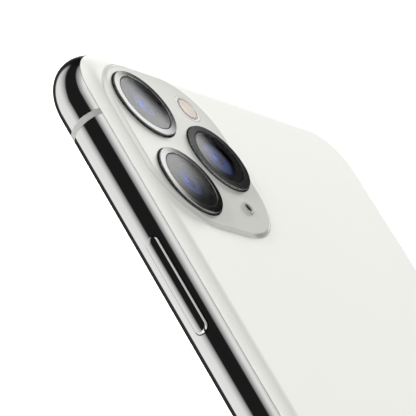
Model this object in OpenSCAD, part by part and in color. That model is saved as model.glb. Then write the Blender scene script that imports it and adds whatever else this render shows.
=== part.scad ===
// Smartphone lying on its display, with the rear glass up.
// X runs across the phone, Y towards its top end and Z from the display to the rear glass.
// The origin is on the display face, at the middle of the phone.

/* [Body] */
// Width across the steel band
body_w = 71.4; // [59:0.1:86]
// Length from the bottom end to the top end
body_l = 144; // [119:0.1:174]
// Thickness from the display face to the flat of the rear glass
body_t = 8.1; // [6.7:0.05:9.8]
// Corner radius of the outline
corner_r = 10.1; // [8.4:0.1:13]
// Height of the steel band's front edge above the display face
front_seam = 0.42; // [0.38:0.02:0.6]
// Depth of the steel band's rear edge below the rear glass
rear_seam = 1.13; // [0.9:0.05:1.4]
// Thickness of the steel band at mid height
band_wall = 2.5; // [2.4:0.05:2.8]
// Width of each plastic antenna split
split_w = 1.0; // [0.6:0.1:1.6]
// Distance of a side split's middle from the end of the phone
split_from_end = 14.1; // [13.4:0.1:20]
// Distance of an end split's middle from where the corner starts
split_from_corner = 2.6; // [1.6:0.1:7.6]

/* [Display] */
// Thickness of the display glass
front_glass_t = 0.75; // [0.5:0.05:0.9]
// Thickness of the light-emitting panel
panel_t = 0.5; // [0.3:0.05:0.6]
// Thickness of the metal sheet behind the panel
display_shield_t = 0.2; // [0.1:0.05:0.3]
// Width of the panel's notch for the earpiece, the sensors and the front camera
notch_w = 35; // [34:0.5:42]
// Depth of the notch
notch_d = 5.6; // [5.2:0.1:6.8]
// Length of the earpiece slit in the display glass
slit_l = 10.4; // [8:0.2:11.6]
// Width of the earpiece slit
slit_w = 0.9; // [0.6:0.05:1.1]
// Distance of the slit's middle from the top end
slit_from_top = 5.3; // [5:0.1:6.4]
// Distance from the outline to the inner edge of the black gasket
gasket_w = 3.4; // [3.1:0.1:4.2]
// Thickness of the gasket around the edge of the display glass
gasket_lip = 0.12; // [0.08:0.02:0.2]
// Thickness of the gasket under the display glass
gasket_t = 0.6; // [0.4:0.05:0.7]

/* [Rear glass and chassis] */
// Thickness of the rear glass away from its edge
rear_glass_t = 0.8; // [0.6:0.05:1]
// Thickness of the chassis plate
chassis_t = 0.6; // [0.4:0.05:0.8]
// Width of the raised camera plateau
plateau_w = 28.4; // [28:0.2:34]
// Length of the raised camera plateau
plateau_l = 30.6; // [29:0.2:36]
// Corner radius of the plateau
plateau_r = 7.6; // [6:0.2:9]
// Height of the plateau above the rear glass
plateau_h = 0.38; // [0.25:0.01:1.2]
// Distance of the plateau from the side of the phone
plateau_from_side = 3.4; // [3:0.1:6]
// Distance of the plateau from the top end of the phone
plateau_from_top = 3.7; // [3:0.1:6]

/* [Cameras] */
// Distance between the two lenses of the outer column
lens_pitch = 14.75; // [14:0.05:17]
// Sideways distance from the outer column to the inner lens
lens_offset = 12.6; // [12.4:0.1:15]
// Distance of the outer lens column from the side of the plateau
lens_from_plateau = 8; // [7:0.1:9]
// Width of a lens ring's flat top around its window
ring_wall = 1.1; // [0.9:0.05:1.3]
// Width of the flange at the foot of a lens ring
ring_flange = 0.22; // [0.1:0.02:0.3]
// Height of a lens ring above the plateau
ring_h = 0.46; // [0.3:0.02:1]
// Radius of a lens window
window_r = 4.9; // [4.2:0.05:5.4]
// Thickness of a lens window
window_t = 0.4; // [0.3:0.05:0.5]
// Radius of a lens barrel
barrel_r = 3.5; // [3:0.1:3.9]
// Side of a square camera module
module_side = 10.8; // [9:0.1:11.6]
// Travel of a lens barrel when it focuses
focus_travel = 0.3; // [0.1:0.05:0.4]
// Radius of the flash window
flash_r = 2.5; // [2.1:0.1:3.2]
// Distance of the flash from the inner lens
flash_offset = 9.9; // [9.4:0.1:11.6]
// Radius of the rear microphone's eyelet
rear_mic_r = 1; // [0.7:0.05:1.4]
// Distance of the rear microphone from the inner lens
rear_mic_offset = 9.5; // [8.5:0.1:11.4]

/* [Buttons and switch] */
// Length of the side button
side_button_l = 16.8; // [13:0.2:21]
// Width of every button
button_w = 2.2; // [1.8:0.05:2.7]
// Height of a button above the band
button_proud = 0.45; // [0.3:0.05:0.6]
// Travel of a button
button_travel = 0.35; // [0.2:0.05:0.5]
// Clearance around a moving button
button_gap = 0.08; // [0.05:0.01:0.15]
// Distance of the side button's middle from the top end
side_button_from_top = 44.05; // [40:0.1:50]
// Length of a volume button
volume_button_l = 10.4; // [8:0.2:12.6]
// Distance of the upper volume button's middle from the top end
volume_up_from_top = 41; // [39:0.5:46]
// Distance between the middles of the volume buttons
volume_pitch = 14; // [13:0.5:18]
// Distance of the mute switch's middle from the top end
mute_from_top = 28.5; // [27:0.5:31]
// Length of the mute switch's slot
mute_slot_l = 6.2; // [5:0.1:7.5]
// Corner radius of the mute switch's slot
mute_slot_r = 0.5; // [0.3:0.05:0.6]
// Travel of the mute switch
mute_travel = 1.2; // [0.8:0.1:1.4]

/* [SIM tray] */
// Distance of the tray's middle from the top end
sim_from_top = 84; // [80:0.5:90]
// Length of the tray's cap along the band
sim_cap_l = 14.6; // [12:0.1:17]
// Depth of the tray into the phone
sim_depth = 17.5; // [15:0.1:20]
// Radius of the ejector hole in the tray's cap
eject_r = 0.45; // [0.35:0.05:0.5]

/* [Bottom end] */
// Inside width of the charging socket
port_w = 8.34; // [7:0.02:10.1]
// Inside height of the charging socket
port_h = 2.56; // [2:0.02:3.1]
// Sheet thickness of the charging socket
port_wall = 0.25; // [0.15:0.05:0.35]
// Depth of the charging socket
port_depth = 7; // [5.5:0.1:8.5]
// Radius of a speaker hole
speaker_hole_r = 0.7; // [0.5:0.05:0.85]
// Distance between speaker holes
speaker_pitch = 2.2; // [1.9:0.1:2.4]
// Distance of the inmost speaker hole from the middle
speaker_from_middle = 11; // [10:0.5:13]
// Radius of a bottom screw's head
screw_head_r = 0.8; // [0.6:0.05:1]

/* [Inside] */
// Gap left between neighbouring parts inside
air = 0.6; // [0.3:0.1:1]
// Gap between the display's metal sheet and what lies behind it
stack_gap = 0.15; // [0.1:0.05:0.2]
// Thickness of glue and foam between stacked parts
glue = 0.04; // [0.02:0.01:0.08]
// Thickness of a circuit board
board_t = 0.6; // [0.4:0.05:0.8]
// Radius of the charging coil
coil_r = 22; // [18:0.5:25]
// Thickness of the charging coil
coil_t = 0.35; // [0.25:0.05:0.4]
// Thickness of the magnetic sheet under the coil
coil_shield_t = 0.3; // [0.2:0.05:0.35]
// Width of the coil's wire as a share of the distance between turns
wire_share = 0.75; // [0.6:0.05:0.9]
// Travel of the haptic motor's mass each way
haptic_travel = 0.4; // [0.2:0.1:0.6]

/* [Hidden] */
$fn = 64;

edge_r = body_t / 2;
half_w = body_w / 2;
half_l = body_l / 2;
corner_x = half_w - corner_r;
corner_y = half_l - corner_r;
mid_z = edge_r;

// Levels of the stack, from the display up
panel_z = front_glass_t + glue;
display_shield_z = panel_z + panel_t + glue;
display_back = display_shield_z + display_shield_t;
band_z0 = front_seam;
band_z1 = body_t - rear_seam;
chassis_z = band_z1 - glue - chassis_t;
rear_glass_z = body_t - rear_glass_t;
plateau_z = body_t + plateau_h;
ring_z = plateau_z + ring_h;
ring_r = window_r + ring_wall;
inside_z0 = display_back + stack_gap;
coil_z = band_z1 - glue - coil_t - 0.4;
coil_shield_z = coil_z - coil_shield_t - glue;
inside_z1 = coil_shield_z - 3 * glue;

// Cavity inside the band
wall_x = half_w - band_wall;
wall_y = half_l - band_wall;
cavity_r = corner_r - band_wall;
// The rear glass rests on this much of the wall round the recess
ledge = 0.5;

// Splits in the band
split_y = half_l - split_from_end;
split_from_middle = corner_x - split_from_corner;

// Lens centres
plateau_x = -half_w + plateau_from_side + plateau_w / 2;
plateau_y = half_l - plateau_from_top - plateau_l / 2;
lens_x = -half_w + plateau_from_side + lens_from_plateau;
inner_x = lens_x + lens_offset;
upper_lens = [lens_x, plateau_y + lens_pitch / 2];
lower_lens = [lens_x, plateau_y - lens_pitch / 2];
inner_lens = [inner_x, plateau_y];
flash_at = [inner_x, plateau_y + flash_offset];
rear_mic_at = [inner_x, plateau_y - rear_mic_offset];
sleeve_wall = 0.35;
sleeve_r = window_r + sleeve_wall;
sleeve_gap = 0.05;
ring_edge = 0.12;

// Camera stack
bracket_t = 0.2;
module_z = inside_z0 + bracket_t + glue;
module_share = 0.62;
barrel_sunk = 0.9;
window_sunk = 0.1;
focus_air = 0.25;
module_h = module_share * (chassis_z - module_z);
barrel_z = module_z + module_h - barrel_sunk;
window_z = ring_z - window_sunk - window_t;
barrel_top = window_z - focus_travel - focus_air;
bracket_margin = 0.3;

// Places along the sides and on the display
slit_y = half_l - slit_from_top;
side_button_y = half_l - side_button_from_top;
volume_up_y = half_l - volume_up_from_top;
volume_down_y = volume_up_y - volume_pitch;
mute_y = half_l - mute_from_top;
sim_y = half_l - sim_from_top;
lip = 0.5;
lip_t = 0.4;
lip_air = 0.05;
flex_t = 0.35;
dome_h = 0.12;
dome_air = 0.06;
flex_x = wall_x - lip_air - lip_t - button_travel - dome_air - dome_h - flex_t;

// Mute switch
mute_tab_l = mute_slot_l - 2 * mute_slot_r;
mute_tab_t = 1.3;
mute_slot_w = mute_tab_t + mute_travel + 2 * button_gap;
mute_rest_z = mid_z - mute_travel / 2;

// SIM tray
sim_cap_w = 2.2;
sim_t = 1.1;
sim_floor = 0.3;
sim_tongue_l = sim_cap_l - 3.2;
sim_tongue_y0 = -sim_tongue_l / 2 - 0.8;
card_w = 8.8;
card_l = 12.3;
card_t = 0.67;
card_air = 0.1;
eject_y = sim_cap_l / 2 - 1.5;

// Parts in the notch
top_part_d = notch_d - 0.9;
notch_y = half_l - gasket_w - notch_d + 0.6;
earpiece_l = 12;
earpiece_h = 2;
sensor_h = 2.4;
// The left sensors start where both the notch and the camera bracket leave room, and end at the earpiece
sensor_x0 = max(-notch_w / 2 + 0.9, lens_x + module_side / 2 + bracket_margin + 2 * glue);
sensor_x1 = -earpiece_l / 2 - 0.6;
right_sensor_x = 12.6;
right_sensor_l = 4;
front_camera_x = 9.4;
front_camera_h = 3.4;

// Inside layout
camera_right = plateau_x + plateau_w / 2;
board_x0 = -wall_x + 1.6;
board_x1 = camera_right - air;
board_y0 = sim_y + sim_cap_l / 2 + 2 * air;
board_y1 = lower_lens[1] - module_side / 2 - 2 * air;
board_w = board_x1 - board_x0;
board_l = board_y1 - board_y0;
board_r = 1.2;
radio_chip_h = 0.5;
spacer_wall = 1.5;
shield_inset = 1;
shield_wall = 0.25;
shield_top = 0.2;
battery_x0 = camera_right + air;
battery_x1 = flex_x - air;
battery_y0 = -half_l + 26;
battery_y1 = half_l - 13.5;
battery_step = sim_y - sim_cap_l / 2 - 2 * air;
inside_h = inside_z1 - inside_z0;
shell_w = port_w + 2 * port_wall;
shell_h = port_h + 2 * port_wall;
screw_from_shell = 2.2;
screw_x = shell_w / 2 + screw_from_shell;
bottom_y1 = battery_y0 - air;
// The last speaker hole stays clear of the corner
speaker_holes = min(6, floor((corner_x - speaker_from_middle) / speaker_pitch) + 1);
haptic_x0 = screw_x + 2.6;
inside_screw_r = 0.9;
inside_screw_x = wall_x - inside_screw_r - 0.3;
haptic_x1 = inside_screw_x - inside_screw_r - air;
haptic_y0 = -corner_y + 0.6;
haptic_wall = 0.4;
haptic_air = 0.1;
mic_holes = 3;
mesh_t = 0.3;
mesh_air = 0.1;
screw_shank_r = 0.5;
screw_sink = 1.3;
coil_at = [0, -half_l + 62];
spacer_h = 0.3 * (inside_h - 2 * board_t);
radio_z = inside_z0 + board_t + spacer_h + 2 * glue;
shield_z = radio_z + board_t + glue;

steel = [0.86, 0.86, 0.85];
pearl = [0.93, 0.93, 0.91];
black_glass = [0.03, 0.03, 0.035];
black_plastic = [0.06, 0.06, 0.065];
split_grey = [0.66, 0.66, 0.65];
aluminium = [0.72, 0.73, 0.74];
board_blue = [0.08, 0.14, 0.2];
copper = [0.8, 0.48, 0.3];

// ---------- Flat shapes, each made of pieces that meet edge to edge ----------

// A quarter disc in the first quadrant
module quarter2d(r) {
    intersection() {
        circle(r);
        square(r);
    }
}

// A rectangle with round corners, centred
module rounded2d(w, l, r) {
    square([w - 2 * r, l], center = true);
    for (s = [-1, 1]) {
        translate([s * (w / 2 - r / 2), 0]) square([r, l - 2 * r], center = true);
        for (k = [0, 180])
            rotate(k) translate([w / 2 - r, s * (l / 2 - r)]) mirror([0, s < 0 ? 1 : 0]) quarter2d(r);
    }
}

// A pill with its length along X, centred
module pill2d(l, w) {
    square([l - w, w], center = true);
    for (s = [-1, 1])
        translate([s * (l - w) / 2, 0]) intersection() {
            circle(w / 2);
            translate([s * w / 2, 0]) square([w, w], center = true);
        }
}

module rounded_plate(w, l, r, h) {
    linear_extrude(h) rounded2d(w, l, r);
}

// A pill through a side of the phone: its length along Y and its depth along X, from x0 to x1
module side_pill(l, w, x0, x1) {
    translate([x0, 0, mid_z]) rotate([90, 0, 90]) linear_extrude(x1 - x0) pill2d(l, w);
}

// The same through an end: its length along X and its depth along Y, from y0 to y1
module end_pill(l, w, y0, y1) {
    translate([0, y1, mid_z]) rotate([90, 0, 0]) linear_extrude(y1 - y0) pill2d(l, w);
}

// ---------- The round edge that runs all the way around ----------

// The part of the full-round edge from height z0 to z1, between the distances inner and outer
// from the corner's centre; x is that distance and y is the height
module edge2d(z0, z1, inner, outer = corner_r) {
    round_x = corner_r - edge_r;
    start = max(inner, round_x);
    intersection() {
        translate([round_x, edge_r]) circle(edge_r);
        translate([start, z0]) square([outer - start, z1 - z0]);
    }
    if (inner < round_x)
        translate([inner, z0]) square([round_x - inner, z1 - z0]);
}

// A corner of the outline; its children are a flat shape as in edge2d
module at_corner(sx, sy) {
    turn = sx > 0 ? (sy > 0 ? 0 : 270) : (sy > 0 ? 90 : 180);
    translate([sx * corner_x, sy * corner_y, 0]) rotate([0, 0, turn])
        rotate_extrude(angle = 90) children();
}

// A straight run along a side, from y0 to y1
module along_side(sx, y0, y1) {
    translate([sx * corner_x, 0, 0]) mirror([sx < 0 ? 1 : 0, 0, 0])
        translate([0, y1, 0]) rotate([90, 0, 0]) linear_extrude(y1 - y0) children();
}

// A straight run along an end, from x0 to x1
module along_end(sy, x0, x1) {
    translate([0, sy * corner_y, 0]) mirror([0, sy < 0 ? 1 : 0, 0])
        translate([x0, 0, 0]) rotate([90, 0, 90]) linear_extrude(x1 - x0) children();
}

// The edge section of edge2d carried all the way around
module edge_frame(z0, z1, inner, outer = corner_r) {
    for (sx = [-1, 1], sy = [-1, 1]) at_corner(sx, sy) edge2d(z0, z1, inner, outer);
    for (s = [-1, 1]) {
        along_side(s, -corner_y, corner_y) edge2d(z0, z1, inner, outer);
        along_end(s, -corner_x, corner_x) edge2d(z0, z1, inner, outer);
    }
}

// A slab with the round edge, from z0 to z1, its outline inset from the phone's by the distance inset
module edge_slab(z0, z1, inset = 0) {
    edge_frame(z0, z1, 0, corner_r - inset);
    translate([-corner_x, -corner_y, z0]) cube([2 * corner_x, 2 * corner_y, z1 - z0]);
}

// ---------- Display ----------

// A sheet of the display, inset by m from the gasket, with the notch in its top edge
module display_sheet(m, z, t) {
    l = body_l - 2 * gasket_w - 2 * m;
    translate([0, 0, z]) difference() {
        rounded_plate(body_w - 2 * gasket_w - 2 * m, l, corner_r - gasket_w, t);
        translate([0, l / 2, -1]) rounded_plate(notch_w, 2 * (notch_d - m), 2, t + 2);
    }
}

module front_glass() {
    color(black_glass) difference() {
        edge_slab(0, front_glass_t, band_wall + gasket_lip);
        translate([0, slit_y, -1]) linear_extrude(front_glass_t + 2) pill2d(slit_l, slit_w);
    }
}

module display_panel() {
    color(black_plastic) display_sheet(0.2, panel_z, panel_t);
}

module display_shield() {
    color(aluminium) display_sheet(1, display_shield_z, display_shield_t);
}

// A ledge under the glass and a lip between the glass and the band
module display_gasket() {
    outer = corner_r - band_wall - 0.01;
    ledge_z = front_glass_t + glue;
    color(black_plastic) {
        edge_frame(ledge_z, ledge_z + gasket_t, corner_r - gasket_w, outer);
        edge_frame(front_seam, ledge_z, outer - gasket_lip + 0.02, outer);
    }
}

// ---------- Steel band ----------

module band2d() {
    edge2d(band_z0, band_z1, corner_r - band_wall);
}

// A run of band from a side split, round a corner, to the distance x_end along the end
module band_corner(sx, sy, x_end) {
    side0 = split_y + split_w / 2;
    at_corner(sx, sy) band2d();
    if (sy > 0) along_side(sx, side0, corner_y) band2d();
    else along_side(sx, -corner_y, -side0) band2d();
    if (sx < 0) along_end(sy, -corner_x, x_end) band2d();
    else along_end(sy, x_end, corner_x) band2d();
}

module band_left() {
    color(steel) difference() {
        along_side(-1, -split_y + split_w / 2, split_y - split_w / 2) band2d();
        translate([0, side_button_y, 0])
            side_pill(side_button_l + 2 * button_gap, button_w + 2 * button_gap, -half_w - 1, -wall_x + 1);
        translate([0, sim_y, 0])
            side_pill(sim_cap_l + 2 * button_gap, sim_cap_w + 2 * button_gap, -half_w - 1, -wall_x + 1);
    }
}

module band_right() {
    color(steel) difference() {
        along_side(1, -split_y + split_w / 2, split_y - split_w / 2) band2d();
        for (y = [volume_up_y, volume_down_y]) translate([0, y, 0])
            side_pill(volume_button_l + 2 * button_gap, button_w + 2 * button_gap, wall_x - 1, half_w + 1);
        translate([wall_x - 1, mute_y, mid_z]) rotate([90, 0, 90])
            linear_extrude(band_wall + 2) rounded2d(mute_slot_l, mute_slot_w, mute_slot_r);
    }
}

module band_top_left() {
    color(steel) band_corner(-1, 1, split_from_middle - split_w / 2);
}

module band_top_right() {
    color(steel) band_corner(1, 1, split_from_middle + split_w / 2);
}

module band_bottom_left() {
    color(steel) difference() {
        band_corner(-1, -1, split_from_middle - split_w / 2);
        end_pill(shell_w + 0.1, shell_h + 0.1, -half_l - 1, -wall_y + 1);
        for (k = [0 : speaker_holes - 1])
            end_hole(-speaker_from_middle - k * speaker_pitch, speaker_hole_r);
        for (k = [0 : mic_holes - 1]) end_hole(speaker_from_middle + k * speaker_pitch, speaker_hole_r);
        for (s = [-1, 1]) {
            end_hole(s * screw_x, screw_shank_r + 0.05);
            translate([s * screw_x, -half_l + screw_sink, mid_z]) rotate([90, 0, 0])
                cylinder(r = screw_head_r + 0.06, h = 2);
        }
    }
}

module band_bottom_right() {
    color(steel) band_corner(1, -1, split_from_middle + split_w / 2);
}

// A round hole through the bottom end's wall
module end_hole(x, r) {
    translate([x, -wall_y + 1, mid_z]) rotate([90, 0, 0]) cylinder(r = r, h = band_wall + 2);
}

module antenna_splits() {
    color(split_grey) {
        for (sx = [-1, 1], sy = [-1, 1])
            along_side(sx, sy * split_y - split_w / 2, sy * split_y + split_w / 2) band2d();
        for (sy = [-1, 1])
            along_end(sy, split_from_middle - split_w / 2, split_from_middle + split_w / 2) band2d();
    }
}

// ---------- Rear glass and chassis ----------

// The plateau's round-edged slab; its top edge has the radius of its height
module plateau() {
    f = min(plateau_h, 0.5);
    px = plateau_w / 2 - plateau_r;
    py = plateau_l / 2 - plateau_r;
    z0 = rear_glass_z + 0.2;
    translate([plateau_x, plateau_y, 0]) {
        for (sx = [-1, 1], sy = [-1, 1])
            translate([sx * px, sy * py, 0]) rotate([0, 0, sx > 0 ? (sy > 0 ? 0 : 270) : (sy > 0 ? 90 : 180)])
                rotate_extrude(angle = 90) plateau_edge2d(f, z0);
        for (k = [0, 180]) rotate(k) {
            translate([px, py, 0]) rotate([90, 0, 0]) linear_extrude(2 * py) plateau_edge2d(f, z0);
            translate([px, py, 0]) rotate([90, 0, -90]) mirror([1, 0, 0])
                linear_extrude(2 * px) plateau_edge2d(f, z0);
        }
        translate([-px, -py, z0]) cube([2 * px, 2 * py, plateau_z - z0]);
    }
}

module plateau_edge2d(f, z0) {
    translate([0, z0]) square([plateau_r, plateau_z - f - z0]);
    translate([0, plateau_z - f]) square([plateau_r - f, f]);
    translate([plateau_r - f, plateau_z - f]) quarter2d(f);
}

// The openings for the rings, the flash and the microphone, each grown by g
module rear_openings(z0, z1, g) {
    for (c = [upper_lens, lower_lens, inner_lens]) hole_at(c, sleeve_r + g, z0, z1);
    hole_at(flash_at, flash_r + g, z0, z1);
    hole_at(rear_mic_at, rear_mic_r + g, z0, z1);
}

module hole_at(c, r, z0, z1) {
    translate([c[0], c[1], z0]) cylinder(r = r, h = z1 - z0);
}

module rear_glass() {
    color(pearl) difference() {
        union() {
            edge_slab(band_z1 + glue, body_t);
            plateau();
        }
        translate([0, 0, band_z1])
            rounded_plate(2 * (wall_x - ledge), 2 * (wall_y - ledge), cavity_r - ledge, rear_glass_z - band_z1);
        rear_openings(band_z1 - 1, ring_z + 1, sleeve_gap);
    }
}

module chassis_plate() {
    color(aluminium) translate([0, 0, chassis_z]) difference() {
        rounded_plate(2 * wall_x - 0.06, 2 * wall_y - 0.06, cavity_r - 0.03, chassis_t);
        translate([0, 0, -chassis_z]) rear_openings(chassis_z - 1, chassis_z + 2, sleeve_gap);
        translate([coil_at[0], coil_at[1], -1]) cylinder(r = coil_r + 0.4, h = 3);
    }
}

// ---------- Rear cameras ----------

module lens_ring(c) {
    seat_r = window_r - 0.5;
    mouth_r = window_r + glue;
    flange_z = plateau_z + 0.01;
    color(steel) translate([c[0], c[1], 0]) rotate_extrude() polygon([
        [seat_r, chassis_z], [sleeve_r, chassis_z], [sleeve_r, flange_z],
        [ring_r + ring_flange, flange_z], [ring_r + ring_flange, flange_z + ring_h / 4],
        [ring_r, flange_z + ring_h / 4], [ring_r, ring_z - ring_edge], [ring_r - ring_edge, ring_z],
        [mouth_r, ring_z], [mouth_r, window_z - glue], [seat_r, window_z - glue]
    ]);
}

module lens_window(c) {
    color([0.2, 0.22, 0.3, 0.6]) translate([c[0], c[1], window_z]) cylinder(r = window_r, h = window_t);
}

module lens_barrel(c) {
    dish = 2 * barrel_r;
    color(black_plastic) translate([c[0], c[1], 0]) difference() {
        union() {
            translate([0, 0, barrel_z]) cylinder(r = barrel_r, h = barrel_top - barrel_z);
            translate([0, 0, barrel_z]) cylinder(r = barrel_r + 0.4, h = 0.5);
        }
        translate([0, 0, barrel_top - 0.35 + dish]) sphere(r = dish);
    }
}

module camera(c) {
    color([0.25, 0.26, 0.28]) translate([c[0], c[1], module_z]) difference() {
        translate([-module_side / 2, -module_side / 2, 0]) cube([module_side, module_side, module_h]);
        translate([0, 0, barrel_z - module_z - 0.05]) cylinder(r = barrel_r + 0.5, h = module_h);
    }
}

// The sheet that the cameras stand on: a column for the outer two and an arm for the inner one
module camera_bracket() {
    w = module_side + 2 * bracket_margin;
    color(aluminium) translate([lens_x, plateau_y, inside_z0]) {
        translate([-w / 2, -(lens_pitch + w) / 2, 0]) cube([w, lens_pitch + w, bracket_t]);
        translate([w / 2, -w / 2, 0]) cube([lens_offset, w, bracket_t]);
    }
}

module flash_window() {
    color([0.95, 0.93, 0.88]) hole_at(flash_at, flash_r, plateau_z - 0.55, plateau_z + 0.03);
}

// The lamp's round base and its square emitter
module flash_lamp() {
    base_r = flash_r - 0.2;
    base_z = chassis_z - 0.5;
    emitter = 1.1 * base_r;
    color([0.96, 0.82, 0.55]) {
        hole_at(flash_at, base_r, base_z, chassis_z);
        translate([flash_at[0] - emitter / 2, flash_at[1] - emitter / 2, chassis_z])
            cube([emitter, emitter, plateau_z - 0.7 - chassis_z]);
    }
}

module rear_mic() {
    color(steel) translate([rear_mic_at[0], rear_mic_at[1], 0]) difference() {
        translate([0, 0, chassis_z]) cylinder(r = rear_mic_r, h = plateau_z + 0.05 - chassis_z);
        translate([0, 0, plateau_z - 0.5]) cylinder(r = rear_mic_r - 0.4, h = 2);
    }
}

// ---------- Buttons and switch ----------

// A button on the right side, with its middle at y: a convex pill with a lip inside the band
module button(y, l) {
    face_r = 2.5 * button_w;
    top = half_w + button_proud;
    translate([0, y, 0]) {
        intersection() {
            side_pill(l, button_w, wall_x - 0.06, top);
            translate([top - face_r, 0, mid_z]) rotate([90, 0, 0])
                cylinder(r = face_r, h = l + 2, center = true);
        }
        side_pill(l + lip, button_w + lip, wall_x - 0.05 - lip_t, wall_x - 0.05);
    }
}

// The flex strip behind a button, with its dome, for a button at y on the right side
module dome_strip(y, l) {
    translate([flex_x, y - l / 2, mid_z - button_w / 2]) cube([flex_t, l, button_w]);
    translate([flex_x + flex_t, y, mid_z]) rotate([0, 90, 0]) cylinder(r = 0.8 * button_w / 2, h = dome_h);
}

module side_button() {
    color(steel) mirror([1, 0, 0]) button(side_button_y, side_button_l);
}

module side_button_flex() {
    color([0.5, 0.33, 0.14]) mirror([1, 0, 0]) dome_strip(side_button_y, side_button_l - 1);
}

module volume_up_button() {
    color(steel) button(volume_up_y, volume_button_l);
}

module volume_down_button() {
    color(steel) button(volume_down_y, volume_button_l);
}

module volume_flex() {
    middle = (volume_up_y + volume_down_y) / 2;
    color([0.5, 0.33, 0.14]) {
        for (y = [volume_up_y, volume_down_y]) dome_strip(y, volume_button_l - 1);
        translate([flex_x, middle - volume_pitch / 2, mid_z - 0.5]) cube([flex_t, volume_pitch, 1]);
    }
}

// The switch's tab lies against the slot's front edge at rest
module mute_switch() {
    color(steel) translate([0, mute_y, mute_rest_z]) {
        translate([wall_x - 0.05 - lip_t, -mute_tab_l / 2, -mute_tab_t / 2])
            cube([half_w + button_proud - 0.1 - wall_x + 0.05 + lip_t, mute_tab_l, mute_tab_t]);
        translate([wall_x - 0.05 - lip_t, -mute_tab_l / 2 - 0.6, -mute_tab_t / 2 - 0.3])
            cube([lip_t, mute_tab_l + 1.2, mute_tab_t + 0.6]);
    }
}

module mute_switch_base() {
    depth = 1.1;
    h = mute_slot_w + 0.6;
    color(black_plastic)
        translate([wall_x - 0.05 - lip_t - 0.05 - depth, mute_y - mute_slot_l / 2 - 0.6, mid_z - h / 2])
            cube([depth, mute_slot_l + 1.2, h]);
}

// ---------- SIM tray ----------

module sim_tray() {
    x0 = -half_w - 0.05;
    cap_x1 = -wall_x + 0.3;
    tongue_x1 = x0 + sim_depth;
    pocket_x = tongue_x1 - 0.9 - card_l;
    color(steel) translate([0, sim_y, 0]) difference() {
        union() {
            intersection() {
                side_pill(sim_cap_l, sim_cap_w, x0, cap_x1);
                translate([0, -sim_cap_l, 0])
                    along_side(-1, -sim_cap_l, 3 * sim_cap_l) edge2d(0, body_t, corner_r - band_wall - 2);
            }
            translate([cap_x1 - card_air, sim_tongue_y0, mid_z - sim_t / 2])
                cube([tongue_x1 - cap_x1 + card_air, sim_tongue_l, sim_t]);
        }
        pocket_y = sim_tongue_y0 + (sim_tongue_l - card_w) / 2 - card_air;
        translate([pocket_x, pocket_y, mid_z - sim_t / 2 + sim_floor])
            cube([card_l + 2 * card_air, card_w + 2 * card_air, 2]);
        translate([x0 - 1, eject_y, mid_z]) rotate([0, 90, 0]) cylinder(r = eject_r, h = 5);
    }
}

module sim_card() {
    x0 = -half_w - 0.05 + sim_depth - 0.9 - card_l + 0.1;
    y0 = sim_y - sim_tongue_l / 2 - 0.8 + (sim_tongue_l - card_w) / 2;
    color([0.9, 0.9, 0.86]) translate([x0, y0, mid_z - sim_t / 2 + 0.32]) cube([card_l, card_w, card_t]);
}

// The cage around the tray: two plates and a side wall, open towards the slot
module sim_reader() {
    x0 = -wall_x + 0.6;
    x1 = -half_w + sim_depth + 0.5;
    w = sim_cap_l + 0.4;
    gap = sim_t + 0.7;
    color(aluminium) translate([x0, sim_y - w / 2, mid_z]) {
        translate([0, 0, gap / 2]) cube([x1 - x0, w, 0.3]);
        translate([0, 0, -gap / 2 - 0.3]) cube([x1 - x0, w, 0.3]);
        translate([x1 - x0, 0, -gap / 2 - 0.3]) cube([0.4, w, gap + 0.6]);
    }
}

// ---------- Bottom end ----------

module charging_socket() {
    color([0.7, 0.7, 0.72]) difference() {
        end_pill(shell_w, shell_h, -half_l + 0.5, -half_l + port_depth);
        end_pill(port_w, port_h, -half_l - 1, -half_l + port_depth - port_wall);
    }
}

module socket_tongue() {
    w = 0.8 * port_w;
    t = 0.27 * port_h;
    color(black_plastic)
        translate([-w / 2, -half_l + 1.5, mid_z - t / 2]) cube([w, port_depth - 1.5 - port_wall, t]);
}

module bottom_screws() {
    color(steel) for (s = [-1, 1]) translate([s * screw_x, -half_l + screw_sink, mid_z]) rotate([90, 0, 0]) {
        difference() {
            cylinder(r = screw_head_r, h = 0.6);
            translate([0, 0, 0.3]) cylinder(r = screw_head_r / 2, h = 1, $fn = 5);
        }
        mirror([0, 0, 1]) cylinder(r = screw_shank_r, h = 2.8);
    }
}

module loudspeaker() {
    x1 = -screw_x - screw_from_shell;
    y0 = -wall_y + 1.2;
    color(black_plastic) intersection() {
        translate([-wall_x, y0, inside_z0]) cube([wall_x + x1, bottom_y1 - y0, inside_h]);
        translate([0, 0, inside_z0])
            rounded_plate(2 * wall_x - 2 * air, 2 * wall_y, cavity_r - air, inside_h);
    }
}

// The meshes behind the loudspeaker's holes, the microphone's holes and the earpiece slit
module dust_meshes() {
    margin = 0.5;
    r = speaker_hole_r + margin;
    speaker_run = (speaker_holes - 1) * speaker_pitch;
    mic_run = (mic_holes - 1) * speaker_pitch;
    color(black_plastic) {
        for (run = [[-speaker_from_middle - speaker_run, speaker_run], [speaker_from_middle, mic_run]])
            translate([run[0] - r, -wall_y + mesh_air, mid_z - r]) cube([run[1] + 2 * r, mesh_t, 2 * r]);
        translate([0, slit_y, front_glass_t + glue]) linear_extrude(mesh_t)
            pill2d(slit_l + 2 * margin, slit_w + 2 * margin);
    }
}

// The block that fills the haptic motor's place, smaller by `side` along X and by `play` along Y and Z
module haptic_block(side, play) {
    translate([haptic_x0 + side, haptic_y0 + play, inside_z0 + play]) cube([
        haptic_x1 - haptic_x0 - 2 * side,
        bottom_y1 - haptic_y0 - 2 * play,
        inside_h - 2 * play
    ]);
}

module haptic_case() {
    color([0.62, 0.62, 0.63]) difference() {
        haptic_block(0, 0);
        haptic_block(haptic_wall, haptic_wall);
    }
}

module haptic_mass() {
    play = haptic_wall + haptic_air;
    color([0.5, 0.5, 0.52]) haptic_block(play + haptic_travel, play);
}

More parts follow.
